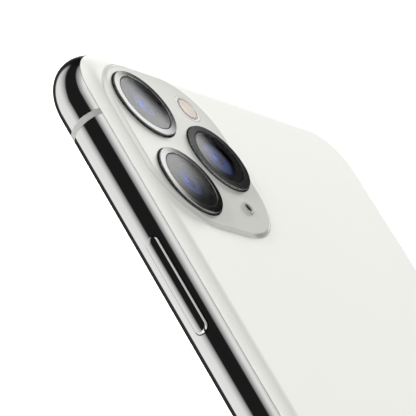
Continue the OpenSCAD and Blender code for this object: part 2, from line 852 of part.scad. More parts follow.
module bottom_mic() {
    color([0.75, 0.65, 0.35]) translate([speaker_from_middle - 1, -wall_y + mesh_air + mesh_t + glue, mid_z - 1])
        cube([(mic_holes - 1) * speaker_pitch + 2, 1.6, 2]);
}

// ---------- Top end ----------

// These lie in the notch, between the gasket and the display panel
module earpiece() {
    color(black_plastic) translate([-earpiece_l / 2, notch_y, inside_z0])
        cube([earpiece_l, top_part_d, earpiece_h]);
}

// The sensors on each side of the earpiece
module front_sensors() {
    color([0.3, 0.3, 0.32]) for (b = [[sensor_x0, sensor_x1 - sensor_x0], [right_sensor_x, right_sensor_l]])
        translate([b[0], notch_y, front_glass_t + 2 * glue]) cube([b[1], top_part_d, sensor_h]);
}

module front_camera() {
    r = top_part_d / 2;
    color([0.12, 0.12, 0.14]) translate([front_camera_x, notch_y + r, front_glass_t + 2 * glue])
        cylinder(r = r, h = front_camera_h);
}

// ---------- Power and boards ----------

module battery() {
    color([0.1, 0.1, 0.11]) translate([0, 0, inside_z0]) linear_extrude(inside_h) polygon([
        [board_x0, battery_y0], [battery_x1, battery_y0], [battery_x1, battery_y1],
        [battery_x0, battery_y1], [battery_x0, battery_step], [board_x0, battery_step]
    ]);
}

module battery_tabs() {
    space = 1.5;
    tab_l = 2.4;
    tab_t = 0.2;
    w = (battery_x1 - battery_x0 - 2 * space) / 4;
    color([0.95, 0.95, 0.95]) for (k = [0 : 2])
        translate([battery_x0 + w / 2 + k * (w + space), battery_y1 + tab_t / 2, inside_z0 + tab_t])
            cube([w, tab_l, tab_t]);
}

// A plate over the boards' place, smaller by `inset` all round
module over_boards(inset, z, h) {
    translate([board_x0 + board_w / 2, board_y0 + board_l / 2, z])
        rounded_plate(board_w - 2 * inset, board_l - 2 * inset, board_r, h);
}

// A chip: its place and size are shares of the board, and its height is in mm
module chip(z, x, y, w, l, h) {
    translate([board_x0 + x * board_w, board_y0 + y * board_l, z + board_t])
        cube([w * board_w, l * board_l, h]);
}

module logic_board() {
    color(board_blue) {
        over_boards(0, inside_z0, board_t);
        chip(inside_z0, 0.2, 0.52, 0.55, 0.38, spacer_h * 0.7);
        chip(inside_z0, 0.2, 0.12, 0.3, 0.3, spacer_h * 0.6);
    }
}

module radio_board() {
    color(board_blue) {
        over_boards(0, radio_z, board_t);
        chip(radio_z, 0.2, 0.15, 0.25, 0.25, radio_chip_h);
        chip(radio_z, 0.55, 0.5, 0.25, 0.3, radio_chip_h);
    }
}

module board_spacer() {
    z = inside_z0 + board_t + glue;
    color([0.2, 0.3, 0.2]) difference() {
        over_boards(0, z, spacer_h);
        over_boards(spacer_wall, z - 1, spacer_h + 2);
    }
}

// A can over the radio board, open underneath
module board_shield() {
    h = inside_z1 - shield_z;
    color([0.78, 0.78, 0.79]) difference() {
        over_boards(shield_inset, shield_z, h);
        over_boards(shield_inset + shield_wall, shield_z - 1, h + 1 - shield_top);
    }
}

module charging_coil() {
    turns = 7;
    pitch = 0.5 * coil_r / turns;
    color(copper) translate([coil_at[0], coil_at[1], coil_z]) for (k = [0 : turns - 1])
        difference() {
            cylinder(r = coil_r - k * pitch, h = coil_t);
            translate([0, 0, -1]) cylinder(r = coil_r - (k + wire_share) * pitch, h = coil_t + 2);
        }
}

module coil_shield() {
    color([0.2, 0.2, 0.21]) hole_at(coil_at, coil_r + 0.3, coil_shield_z, coil_shield_z + coil_shield_t);
}

module socket_flex() {
    y0 = -half_l + port_depth + glue;
    color([0.5, 0.33, 0.14]) translate([-port_w / 2, y0, mid_z - flex_t / 2])
        cube([port_w, bottom_y1 - y0, flex_t]);
}

// The screws stand beside the battery and reach from the boards' level to the chassis plate
module inside_screws() {
    color(steel) for (y = [-half_l + 12, battery_y1 + air + inside_screw_r])
        translate([inside_screw_x, y, inside_z0]) {
            cylinder(r = inside_screw_r, h = 0.6);
            cylinder(r = inside_screw_r / 2, h = chassis_z - glue - inside_z0);
        }
}

front_glass();
display_panel();
display_shield();
display_gasket();
band_left();
band_right();
band_top_left();
band_top_right();
band_bottom_left();
band_bottom_right();
antenna_splits();
rear_glass();
chassis_plate();
lens_ring(upper_lens);  // upper_lens_ring
lens_ring(lower_lens);  // lower_lens_ring
lens_ring(inner_lens);  // inner_lens_ring
lens_window(upper_lens);  // upper_lens_window
lens_window(lower_lens);  // lower_lens_window
lens_window(inner_lens);  // inner_lens_window
lens_barrel(upper_lens);  // upper_lens_barrel
lens_barrel(lower_lens);  // lower_lens_barrel
lens_barrel(inner_lens);  // inner_lens_barrel
camera(upper_lens);  // upper_camera
camera(lower_lens);  // lower_camera
camera(inner_lens);  // inner_camera
camera_bracket();
flash_window();
flash_lamp();
rear_mic();
side_button();
side_button_flex();
volume_up_button();
volume_down_button();
volume_flex();
mute_switch();
mute_switch_base();
sim_tray();
sim_card();
sim_reader();
charging_socket();
socket_tongue();
bottom_screws();
loudspeaker();
dust_meshes();
haptic_case();
haptic_mass();
bottom_mic();
earpiece();
front_sensors();
front_camera();
battery();
battery_tabs();
logic_board();
radio_board();
board_spacer();
board_shield();
charging_coil();
coil_shield();
socket_flex();
inside_screws();
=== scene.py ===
"""Looks of a slim glass-backed smartphone with three rear cameras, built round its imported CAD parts.

The phone lies on its screen. +X is its right side seen from behind, +Y its camera end, +Z out of its back.
Sizes are in millimetres until a mesh is written, which turns them to metres.
"""
import logging
import math
from dataclasses import dataclass, replace
from enum import Enum

import bpy
import numpy as np
from mathutils import Matrix, Vector


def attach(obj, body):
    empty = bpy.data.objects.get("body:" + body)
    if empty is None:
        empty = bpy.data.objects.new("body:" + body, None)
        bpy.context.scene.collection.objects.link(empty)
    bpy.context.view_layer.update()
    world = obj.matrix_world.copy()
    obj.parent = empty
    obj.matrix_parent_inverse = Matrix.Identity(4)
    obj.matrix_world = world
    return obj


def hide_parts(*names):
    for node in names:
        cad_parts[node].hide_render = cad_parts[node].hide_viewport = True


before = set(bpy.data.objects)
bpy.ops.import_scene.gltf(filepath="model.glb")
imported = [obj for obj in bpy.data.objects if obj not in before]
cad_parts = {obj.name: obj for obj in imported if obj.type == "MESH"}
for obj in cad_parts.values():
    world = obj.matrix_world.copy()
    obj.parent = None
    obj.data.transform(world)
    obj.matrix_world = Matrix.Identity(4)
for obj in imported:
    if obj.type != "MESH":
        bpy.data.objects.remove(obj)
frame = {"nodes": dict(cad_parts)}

LOG = logging.getLogger("smartphone")
MM = 0.001
Array = np.ndarray

# ---------- Body sizes shared by several sub-assemblies, in mm ----------
HALF_W = 35.7
HALF_L = 72.0
EDGE_R = 4.05
CORNER_R = 10.1
BAND_BOTTOM = 0.42
BAND_TOP = 6.97
GLASS_BOTTOM = 7.01
GLASS_T = 0.8
BACK_Z = 8.1
PLATEAU_Z = 8.48
SPLIT_W = 1.0
SIDE_SPLIT_Y = 57.9
END_SPLIT_X = 23.0
SPINE_R = CORNER_R - EDGE_R
CORNER_X = HALF_W - CORNER_R
CORNER_Y = HALF_L - CORNER_R
# How far the cutters reach: through a long side, through an end, and up through the rear glass.
SIDE_CUT = (31.0, 40.0)
END_CUT = (-66.0, -80.0)
GLASS_CUT = (7.0, 9.5)


# ---------- Colours and node helpers ----------

def linear(code: str) -> tuple[float, float, float, float]:
    """Turns an sRGB hex colour into linear light.

    Args:
        code: A colour such as "#a0b0c0".

    Returns:
        Red, green, blue and alpha, each from 0 to 1.
    """
    parts = [int(code[i:i + 2], 16) / 255 for i in (1, 3, 5)]
    light = [v / 12.92 if v <= 0.04045 else ((v + 0.055) / 1.055) ** 2.4 for v in parts]
    return light[0], light[1], light[2], 1.0


def add(tree: bpy.types.NodeTree, kind: str, links: dict | None = None, **settings) -> bpy.types.Node:
    """Adds one node, with its settings and the links into it.

    Args:
        tree: The node tree that gets the node.
        kind: The node's type name.
        links: Input name or number, and the output socket or plain value that feeds it.
        **settings: Properties set on the node itself.

    Returns:
        The new node.
    """
    node = tree.nodes.new(kind)
    for key, value in settings.items():
        setattr(node, key, value)
    for key, value in (links or {}).items():
        if isinstance(value, bpy.types.NodeSocket):
            tree.links.new(value, node.inputs[key])
        else:
            node.inputs[key].default_value = value
    return node


# ---------- Finishes ----------

class Grain(Enum):
    """The kind of fine pattern that a finish shows."""

    CLOUD = "soft cloudy mottling"
    CELLS = "small separate cells or grit"
    BRUSHED = "fine parallel scratches"
    TURNED = "rings left by a lathe tool"
    WEAVE = "crossed threads or traces"


@dataclass(frozen=True)
class Finish:
    """One real material with the way its surface was made.

    The two colours are the low and high ends of its pattern, and grain_mm is the size of that pattern.
    """

    name: str
    low: str
    high: str
    roughness: tuple[float, float] = (0.4, 0.5)
    grain: Grain = Grain.CLOUD
    grain_mm: float = 1.0
    relief_mm: float = 0.0
    metallic: float = 0.0
    ior: float = 1.5
    coat: float = 0.0
    coat_roughness: float = 0.03
    transmission: float = 0.0
    specular_tint: str = "#ffffff"
    glow: float = 0.0
    centre: tuple[float, float, float] = (0.0, 0.0, 0.0)

    def pattern(self, tree: bpy.types.NodeTree) -> bpy.types.NodeSocket:
        """Adds the pattern nodes for this finish's grain.

        Args:
            tree: The material's node tree.

        Returns:
            The socket that carries the pattern, from 0 to 1.
        """
        where = add(tree, "ShaderNodeTexCoord").outputs["Object"]
        per_metre = 1.0 / (self.grain_mm * MM)
        if self.grain is Grain.CELLS:
            cells = add(tree, "ShaderNodeTexVoronoi", {"Vector": where, "Scale": per_metre})
            return cells.outputs["Distance"]
        if self.grain is Grain.BRUSHED:
            place = add(tree, "ShaderNodeMapping", {"Vector": where, "Scale": (1.0, 0.04, 1.0)})
            scratches = add(tree, "ShaderNodeTexNoise",
                            {"Vector": place.outputs[0], "Scale": per_metre, "Detail": 3.0})
            return scratches.outputs["Fac"]
        if self.grain is Grain.TURNED:
            place = add(tree, "ShaderNodeMapping",
                        {"Vector": where, "Location": tuple(-c * MM for c in self.centre)})
            rings = add(tree, "ShaderNodeTexWave",
                        {"Vector": place.outputs[0], "Scale": per_metre / math.tau, "Distortion": 0.4},
                        wave_type="RINGS", rings_direction="Z")
            return rings.outputs["Fac"]
        if self.grain is Grain.WEAVE:
            warp = add(tree, "ShaderNodeTexWave",
                       {"Vector": where, "Scale": per_metre / math.tau}, bands_direction="X")
            weft = add(tree, "ShaderNodeTexWave",
                       {"Vector": where, "Scale": per_metre / math.tau}, bands_direction="Y")
            both = add(tree, "ShaderNodeMath", {0: warp.outputs["Fac"], 1: weft.outputs["Fac"]},
                       operation="MULTIPLY")
            return both.outputs[0]
        clouds = add(tree, "ShaderNodeTexNoise", {"Vector": where, "Scale": per_metre, "Detail": 4.0})
        return clouds.outputs["Fac"]

    def build(self) -> bpy.types.Material:
        """Makes the material, or returns it if it was made before.

        Returns:
            The material of this finish.
        """
        made = bpy.data.materials.get(self.name)
        if made:
            return made
        material = bpy.data.materials.new(self.name)
        material.use_nodes = True
        tree = material.node_tree
        tree.nodes.clear()
        grain = self.pattern(tree)
        colours = add(tree, "ShaderNodeValToRGB", {"Fac": grain})
        colours.color_ramp.elements[0].color = linear(self.low)
        colours.color_ramp.elements[1].color = linear(self.high)
        gloss = add(tree, "ShaderNodeMapRange",
                    {"Value": grain, "To Min": self.roughness[0], "To Max": self.roughness[1]})
        shader = add(tree, "ShaderNodeBsdfPrincipled", {
            "Base Color": colours.outputs["Color"], "Roughness": gloss.outputs["Result"],
            "Metallic": self.metallic, "Coat Weight": self.coat, "Coat Roughness": self.coat_roughness,
            "Transmission Weight": self.transmission, "Specular Tint": linear(self.specular_tint)})
        if self.metallic < 1.0:
            shader.inputs["IOR"].default_value = self.ior
        # A glow is painted light: the surface gives off its high colour though it is no lamp.
        if self.glow > 0.0:
            shader.inputs["Emission Color"].default_value = linear(self.high)
            shader.inputs["Emission Strength"].default_value = self.glow
        if self.relief_mm > 0.0:
            bump = add(tree, "ShaderNodeBump", {"Height": grain, "Distance": self.relief_mm * MM,
                                                "Strength": 0.6})
            tree.links.new(bump.outputs["Normal"], shader.inputs["Normal"])
        add(tree, "ShaderNodeOutputMaterial", {"Surface": shader.outputs["BSDF"]})
        return material


# Etched aluminosilicate glass over white ink: milky, silky, with a veil instead of a sharp reflection.
SATIN_GLASS = Finish("etched_satin_back_glass", "#f2f3ed", "#f4f5ef", (0.27, 0.29), Grain.CLOUD, 20.0,
                     ior=1.5)
# The same glass left fire-polished where it rises round the lenses: clear reflections over white ink.
POLISHED_GLASS = Finish("polished_plateau_glass", "#e2e3dd", "#e6e7e1", (0.06, 0.09), Grain.CLOUD, 6.0,
                        ior=1.9, metallic=0.12)
# Stainless steel polished on a wheel: near-mirror, with the faintest haze where the mop ran.
POLISHED_STEEL = Finish("wheel_polished_stainless_steel", "#ededeb", "#f6f6f4", (0.045, 0.075), Grain.CLOUD,
                        4.0, metallic=1.0)
# Stainless steel turned on a lathe and lapped flat, so its top shows very faint rings.
RING_STEEL = Finish("lapped_stainless_steel_ring", "#dededc", "#f2f2f0", (0.05, 0.1), Grain.CLOUD, 0.35,
                    metallic=1.0)
# The same steel painted darker, as painted shade, for the ring that stands further in.
RING_STEEL_PAINTED_SHADE = replace(RING_STEEL, name="ring_steel_painted_shade", low="#5a5a5b", high="#727272",
                          roughness=(0.14, 0.2))
# Bead-blasted steel painted dark: painted shade, so that a ring's wall stays grey below its bright top,
# though the real wall is the same steel as the top.
SKIRT_STEEL_PAINTED_SHADE = Finish("skirt_steel_painted_shade", "#38383a", "#4a4a4c", (0.22, 0.32), Grain.CLOUD, 0.3,
                     metallic=1.0)
# Glass-filled nylon between the band pieces: matt, pale warm grey, with a fine moulded grit.
SPLIT_NYLON = Finish("glass_filled_nylon_split", "#979794", "#a6a6a2", (0.55, 0.7), Grain.CELLS, 0.12,
                     relief_mm=0.004)
# Flat cover glass with black ink under it: deep black with a sharp reflection.
COVER_GLASS = Finish("black_backed_cover_glass", "#040405", "#08080a", (0.02, 0.04), Grain.CLOUD, 12.0,
                     ior=1.52, coat=0.4)
# Sapphire over a camera: clear and brightly reflecting.
SAPPHIRE = Finish("clear_sapphire_window", "#f6f8fa", "#ffffff", (0.0, 0.01), Grain.CLOUD, 8.0, ior=1.77,
                  transmission=1.0)
# Black paint and anodised baffles inside a lens: nearly no light comes back.
LENS_BLACK = Finish("anodised_lens_black", "#060607", "#0d0d0f", (0.3, 0.45), Grain.CELLS, 0.08)
# A glass element with a blue antireflection coat: dark, with saturated blue glints.
COATED_LENS = Finish("blue_coated_lens_glass", "#2a5cf0", "#4f86ff", (0.03, 0.06), Grain.CLOUD, 3.0,
                     metallic=0.8, ior=1.8, specular_tint="#7fa5ff")
# The wide element round it, coated violet-blue and softer to the eye.
VIOLET_LENS = Finish("violet_coated_lens_glass", "#527ce4", "#5c86ee", (0.4, 0.5), Grain.CLOUD, 2.0, ior=1.6)
# Clear moulded polycarbonate over the flash lamp.
FLASH_LENS = Finish("clear_moulded_flash_lens", "#fbfbf9", "#ffffff", (0.02, 0.05), Grain.CLOUD, 1.5,
                    ior=1.58, transmission=1.0)
# Pearly moulded ring round the flash: glossy, nearly white.
PEARL_TRIM = Finish("pearl_moulded_trim", "#eceae6", "#f6f4f0", (0.12, 0.2), Grain.CLOUD, 0.8,
                    ior=1.55, coat=0.5)
# Phosphor grains in silicone: peach, mottled and soft. Its faint glow is painted light, since the flash is
# not lit.
PHOSPHOR_PAINTED_GLOW = Finish("grained_phosphor_painted_glow", "#f0d9c4", "#f8ece4", (0.5, 0.7), Grain.CELLS, 0.28, relief_mm=0.03,
                  glow=0.6)
# Black moulded polycarbonate: matt with a faint grit.
BLACK_PLASTIC = Finish("black_moulded_polycarbonate", "#0c0c0d", "#17171a", (0.45, 0.6), Grain.CELLS, 0.15,
                       relief_mm=0.005)
# Woven stainless mesh, darkened so that it hides behind its holes.
DUST_MESH = Finish("woven_black_steel_mesh", "#08080a", "#3c3c40", (0.4, 0.6), Grain.WEAVE, 0.12,
                   relief_mm=0.03, metallic=0.7)
# Rolled aluminium sheet: soft grey sheen with fine rolling lines.
ROLLED_ALUMINIUM = Finish("rolled_aluminium_sheet", "#b4b6b9", "#c9cbce", (0.3, 0.42), Grain.BRUSHED, 0.3,
                          relief_mm=0.004, metallic=1.0)
# Pressed stainless cans over electronics: bright but scuffed.
PRESSED_STEEL = Finish("pressed_stainless_can", "#a9abad", "#c4c6c8", (0.22, 0.36), Grain.BRUSHED, 0.4,
                       metallic=1.0)
# Laminated display films: dark with a blue-black sheen.
DISPLAY_FILM = Finish("laminated_display_film", "#0a0b10", "#14161f", (0.12, 0.2), Grain.WEAVE, 0.5, coat=0.5)
# Polyimide flexible circuit: amber-black, with traces showing through.
FLEX_FILM = Finish("polyimide_flex_circuit", "#241a0e", "#4a3317", (0.25, 0.4), Grain.WEAVE, 0.35, coat=0.3)
# Printed white card of laminated plastic.
CARD_PLASTIC = Finish("laminated_card_plastic", "#d9dcdf", "#eceeef", (0.3, 0.4), Grain.CLOUD, 2.0)
# Dark sensor package.
SENSOR_BLACK = Finish("black_sensor_package", "#0b0b10", "#1c1c26", (0.15, 0.3), Grain.CELLS, 0.4, coat=0.5)
# Stainless steel blasted with fine glass beads: pale, with no sharp reflections.
BLASTED_STEEL = Finish("bead_blasted_bright_steel", "#dededc", "#ecece9", (0.3, 0.4), Grain.CLOUD, 0.2,
                       metallic=0.6)
# Drawn nickel-silver microphone can.
MICROPHONE_CAN = Finish("nickel_silver_can", "#a8a498", "#c5c1b5", (0.2, 0.34), Grain.BRUSHED, 0.25,
                        metallic=1.0)
# Aluminised pouch round the battery: black print over crinkled foil.
BATTERY_FOIL = Finish("laminated_battery_pouch", "#0f0f11", "#1d1d20", (0.28, 0.45), Grain.CLOUD, 2.5,
                      relief_mm=0.05)
# Glass-epoxy board under blue-black solder mask.
CIRCUIT_BOARD = Finish("solder_masked_glass_epoxy", "#0c1a24", "#1a3242", (0.25, 0.4), Grain.WEAVE, 0.6,
                       relief_mm=0.01, coat=0.3)
# Enamelled copper wire laid in a spiral.
COPPER_WIRE = Finish("enamelled_copper_winding", "#8a4620", "#c87741", (0.22, 0.35), Grain.BRUSHED, 0.25,
                     metallic=1.0)
# Crushed ferrite sheet: dull dark grey with fine cracks.
FERRITE_SHEET = Finish("cracked_ferrite_sheet", "#1d1d20", "#34343a", (0.5, 0.7), Grain.CELLS, 1.2)
# Gold-plated contact strips.
GOLD_CONTACT = Finish("gold_plated_contact", "#c99a3e", "#e2bd6c", (0.15, 0.25), Grain.BRUSHED, 0.2,
                      metallic=1.0)


# ---------- Surfaces ----------

@dataclass
class Shape:
    """A closed surface: its points in mm and its faces."""

    points: Array
    faces: list[tuple[int, ...]]

    def volume(self) -> float:
        """Returns the signed volume by the divergence sum over fans, positive when faces point outwards."""
        total = 0.0
        for size in {len(f) for f in self.faces}:
            corners = self.points[np.array([f for f in self.faces if len(f) == size])]
            first = corners[:, :1]
            total += np.einsum("ijk,ijk->", np.broadcast_to(first, corners[:, 1:-1].shape),
                               np.cross(corners[:, 1:-1], corners[:, 2:])) / 6
        return float(total)

    def mesh(self, name: str) -> bpy.types.Mesh:
        """Writes the surface into a mesh in metres, with its faces outwards.

        Args:
            name: The mesh's name.

        Returns:
            The new mesh.
        """
        faces = self.faces if self.volume() > 0 else [f[::-1] for f in self.faces]
        mesh = bpy.data.meshes.new(name)
        mesh.from_pydata(self.points * MM, [], faces)
        mesh.validate()
        return mesh

    def joined(self, *others: "Shape") -> "Shape":
        """Puts several closed surfaces into one shape.

        Args:
            *others: The other surfaces.

        Returns:
            One shape with all the points and faces.
        """
        points, faces = [], []
        start = 0
        for part in (self, *others):
            turned = part.faces if part.volume() > 0 else [f[::-1] for f in part.faces]
            points.append(part.points)
            faces += [tuple(i + start for i in f) for f in turned]
            start += len(part.points)
        return Shape(np.concatenate(points), faces)


def skin(loops: Array, ring: bool = False) -> Shape:
    """Joins a row of closed loops into a closed surface.

    Neighbouring loops are joined point to point by quads. The first and last loops are filled flat,
    or joined to each other when the row closes on itself.

    Args:
        loops: Points as (loop, point round the loop, xyz).
        ring: True when the last loop joins the first.

    Returns:
        The closed surface.
    """
    count, around = loops.shape[:2]
    index = np.arange(count * around).reshape(count, around)
    top = index if ring else index[:-1]
    low = np.roll(index, -1, axis=0) if ring else index[1:]
    quads = np.stack([top, np.roll(top, -1, axis=1), np.roll(low, -1, axis=1), low], axis=-1).reshape(-1, 4)
    faces = [tuple(q) for q in quads.tolist()]
    if not ring:
        faces.append(tuple(index[0, ::-1].tolist()))
        faces.append(tuple(index[-1].tolist()))
    return Shape(loops.reshape(-1, 3), faces)


def lathe(profile: list[tuple[float, float]], centre: tuple[float, float], steps: int = 128,
          hollow: bool = False) -> Shape:
    """Turns a profile round an upright axis: x = cx + r cos a, y = cy + r sin a, z as given.

    Args:
        profile: Radius and height of each profile point, from one end to the other.
        centre: The axis's x and y.
        steps: The number of points round the axis.
        hollow: True when the profile is a closed loop that never reaches the axis.

    Returns:
        The closed surface of revolution.
    """
    angle = np.linspace(0, math.tau, steps, endpoint=False)
    radius, height = np.array(profile).T
    loops = np.stack([centre[0] + radius[:, None] * np.cos(angle),
                      centre[1] + radius[:, None] * np.sin(angle),
                      np.broadcast_to(height[:, None], (len(radius), steps))], axis=-1)
    return skin(loops, ring=hollow)


def rounded_outline(half_x: float, half_y: float, radius: float, corner_steps: int = 24) -> Array:
    """The outline of a rectangle with round corners: four quarter circles joined by straight lines.

    Args:
        half_x: Half its width.
        half_y: Half its length.
        radius: The corner radius.
        corner_steps: Points on each quarter circle.

    Returns:
        Points as (point, xy), anticlockwise round the origin.
    """
    quarter = np.linspace(0, math.pi / 2, corner_steps)
    angle = np.concatenate([quarter + k * math.pi / 2 for k in range(4)])
    sign_x = np.repeat([1, -1, -1, 1], corner_steps)
    sign_y = np.repeat([1, 1, -1, -1], corner_steps)
    return np.stack([sign_x * (half_x - radius) + radius * np.cos(angle),
                     sign_y * (half_y - radius) + radius * np.sin(angle)], axis=-1)


def side_frame(outline: Array, depth: float, centre: tuple[float, float, float], axis: str) -> Array:
    """Stands a flat outline up so that its third direction runs along a side's normal.

    Args:
        outline: Points as (point, uv), with v upwards.
        depth: The place along the axis, in mm.
        centre: The middle of the outline; its value along the axis isn't used.
        axis: "x" for the long sides, "y" for the ends, "z" for flat pieces.

    Returns:
        Points as (point, xyz).
    """
    u, v = outline[:, 0], outline[:, 1]
    level = np.full_like(u, depth)
    if axis == "x":
        return np.stack([level, centre[1] + u, centre[2] + v], axis=-1)
    if axis == "y":
        return np.stack([centre[0] + u, level, centre[2] + v], axis=-1)
    return np.stack([centre[0] + u, centre[1] + v, level], axis=-1)


def plug(half_u: float, half_v: float, radius: float, rows: list[tuple[float, float]],
         centre: tuple[float, float, float], axis: str, corner_steps: int = 16) -> Shape:
    """A rounded-rectangle bar whose outline shrinks row by row: each row is an inset and a depth.

    Args:
        half_u: Half the width along the side.
        half_v: Half the height.
        radius: The corner radius of the full outline.
        rows: The inset of the outline and its place along the axis, for each row.
        centre: The middle of the bar.
        axis: The axis that the bar runs along.
        corner_steps: Points on each quarter circle.

    Returns:
        The closed bar.
    """
    loops = []
    for inset, depth in rows:
        outline = rounded_outline(half_u - inset, half_v - inset, max(radius - inset, 0.01), corner_steps)
        loops.append(side_frame(outline, depth, centre, axis))
    return skin(np.array(loops))


def bevelled_plug(half_u: float, half_v: float, radius: float, low: float, high: float,
                  centre: tuple[float, float, float], axis: str, bevel: float = 0.0) -> Shape:
    """A straight rounded bar with a small round edge at its outer end.

    Args:
        half_u: Half the width along the side.
        half_v: Half the height.
        radius: The corner radius.
        low: Where the bar starts along the axis.
        high: Where it ends; the round edge is at this end.
        centre: The middle of the bar.
        axis: The axis that the bar runs along.
        bevel: The radius of the round edge.

    Returns:
        The closed bar.
    """
    turn = np.linspace(0, math.pi / 2, 7 if bevel else 1)
    out = math.copysign(1.0, high - low)
    rows = [(0.0, low)] + [(bevel * (1 - math.cos(t)), high - out * bevel * (1 - math.sin(t))) for t in turn]
    return plug(half_u, half_v, radius, rows, centre, axis)


def glass_cutter(radius: float, centre: tuple[float, float], steps: int) -> Shape:
    """A straight round cutter up through the rear glass.

    Args:
        radius: Its radius.
        centre: Its middle.
        steps: The number of points round it.

    Returns:
        The cutter.
    """
    low, high = GLASS_CUT
    return lathe([(radius, low), (radius, high)], centre, steps)


def carve(shape: Shape | bpy.types.Mesh, cutters: list[Shape], name: str) -> bpy.types.Mesh:
    """Cuts closed shapes out of another with an exact difference.

    Args:
        shape: The body to cut.
        cutters: The shapes to take away.
        name: The name of the new mesh.

    Returns:
        The cut mesh, in metres.
    """
    body = shape.mesh(name) if isinstance(shape, Shape) else shape
    for number, cutter in enumerate(cutters):
        work = bpy.data.objects.new(f"{name}_work", body)
        tool = bpy.data.objects.new(f"{name}_cutter_{number}", cutter.mesh(f"{name}_cutter"))
        bpy.context.scene.collection.objects.link(work)
        bpy.context.scene.collection.objects.link(tool)
        modifier = work.modifiers.new("cut", "BOOLEAN")
        modifier.operation = "DIFFERENCE"
        modifier.solver = "EXACT"
        modifier.object = tool
        bpy.context.view_layer.update()
        graph = bpy.context.evaluated_depsgraph_get()
        result = bpy.data.meshes.new_from_object(work.evaluated_get(graph))
        result.materials.clear()
        bpy.data.objects.remove(work)
        bpy.data.objects.remove(tool)
        body = result
    body.name = name
    return body


def body_normal(points: Array) -> Array:
    """The outward direction of the phone's round outside at points on it.

    Each point's nearest place on the rounded rectangle that runs through the middle of the round edge is
    found, and the direction from there to the point is the normal. Inside that rectangle it is straight up
    or down.

    Args:
        points: Points as (point, xyz), in mm.

    Returns:
        Unit vectors as (point, xyz).
    """
    flat = points[:, :2]
    core = np.clip(flat, [-CORNER_X, -CORNER_Y], [CORNER_X, CORNER_Y])
    away = flat - core
    distance = np.linalg.norm(away, axis=1, keepdims=True)
    unit = away / np.maximum(distance, 1e-9)
    side = np.maximum(distance - SPINE_R, 0.0)
    normal = np.concatenate([unit * side, points[:, 2:] - EDGE_R], axis=1)
    return normal / np.maximum(np.linalg.norm(normal, axis=1, keepdims=True), 1e-9)


def follow_body(mesh: bpy.types.Mesh, closeness: float = 0.97) -> None:
    """Gives faces on the phone's round outside the exact normals of that outside, and others flat ones.

    Args:
        mesh: The mesh, in metres.
        closeness: The cosine between face and outside beyond which a face counts as part of the outside.
    """
    count = len(mesh.vertices)
    points = np.empty(count * 3)
    mesh.vertices.foreach_get("co", points)
    outside = body_normal(points.reshape(-1, 3) / MM)
    faces = np.empty(len(mesh.polygons) * 3)
    mesh.polygons.foreach_get("normal", faces)
    faces = faces.reshape(-1, 3)
    sizes = np.empty(len(mesh.polygons), int)
    mesh.polygons.foreach_get("loop_total", sizes)
    corner = np.empty(len(mesh.loops), int)
    mesh.loops.foreach_get("vertex_index", corner)
    flat = np.repeat(faces, sizes, axis=0)
    round_ = outside[corner]
    on_outside = np.einsum("ij,ij->i", flat, round_) > closeness
    mesh.shade_smooth()
    mesh.normals_split_custom_set(np.where(on_outside[:, None], round_, flat).tolist())


# ---------- Putting pieces into the frame ----------

def place(name: str, form: Shape | bpy.types.Mesh, finish: Finish, body: str, slot: str,
          nodes: tuple[str, ...] = (), crease: float | None = 32.0) -> bpy.types.Object:
    """Makes a finished piece that rides on a body.

    Args:
        name: The piece's name.
        form: Its surface.
        finish: Its material.
        body: The CAD body that it moves with.
        slot: The name of a material slot; not used.
        nodes: The CAD nodes that it stands for.
        crease: The angle in degrees past which an edge stays sharp, or None to keep the mesh's own normals.

    Returns:
        The new object.
    """
    mesh = form.mesh(name) if isinstance(form, Shape) else form
    mesh.name = name
    if crease is not None:
        mesh.shade_smooth()
        mesh.set_sharp_from_angle(angle=math.radians(crease))
    mesh.materials.append(finish.build())
    piece = bpy.data.objects.new(name, mesh)
    bpy.context.scene.collection.objects.link(piece)
    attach(piece, body)
    if nodes:
        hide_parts(*nodes)
    LOG.info("%s: %d faces on %s", name, len(mesh.polygons), body)
    return piece


# ---------- The round edge: band, splits and rear glass ----------

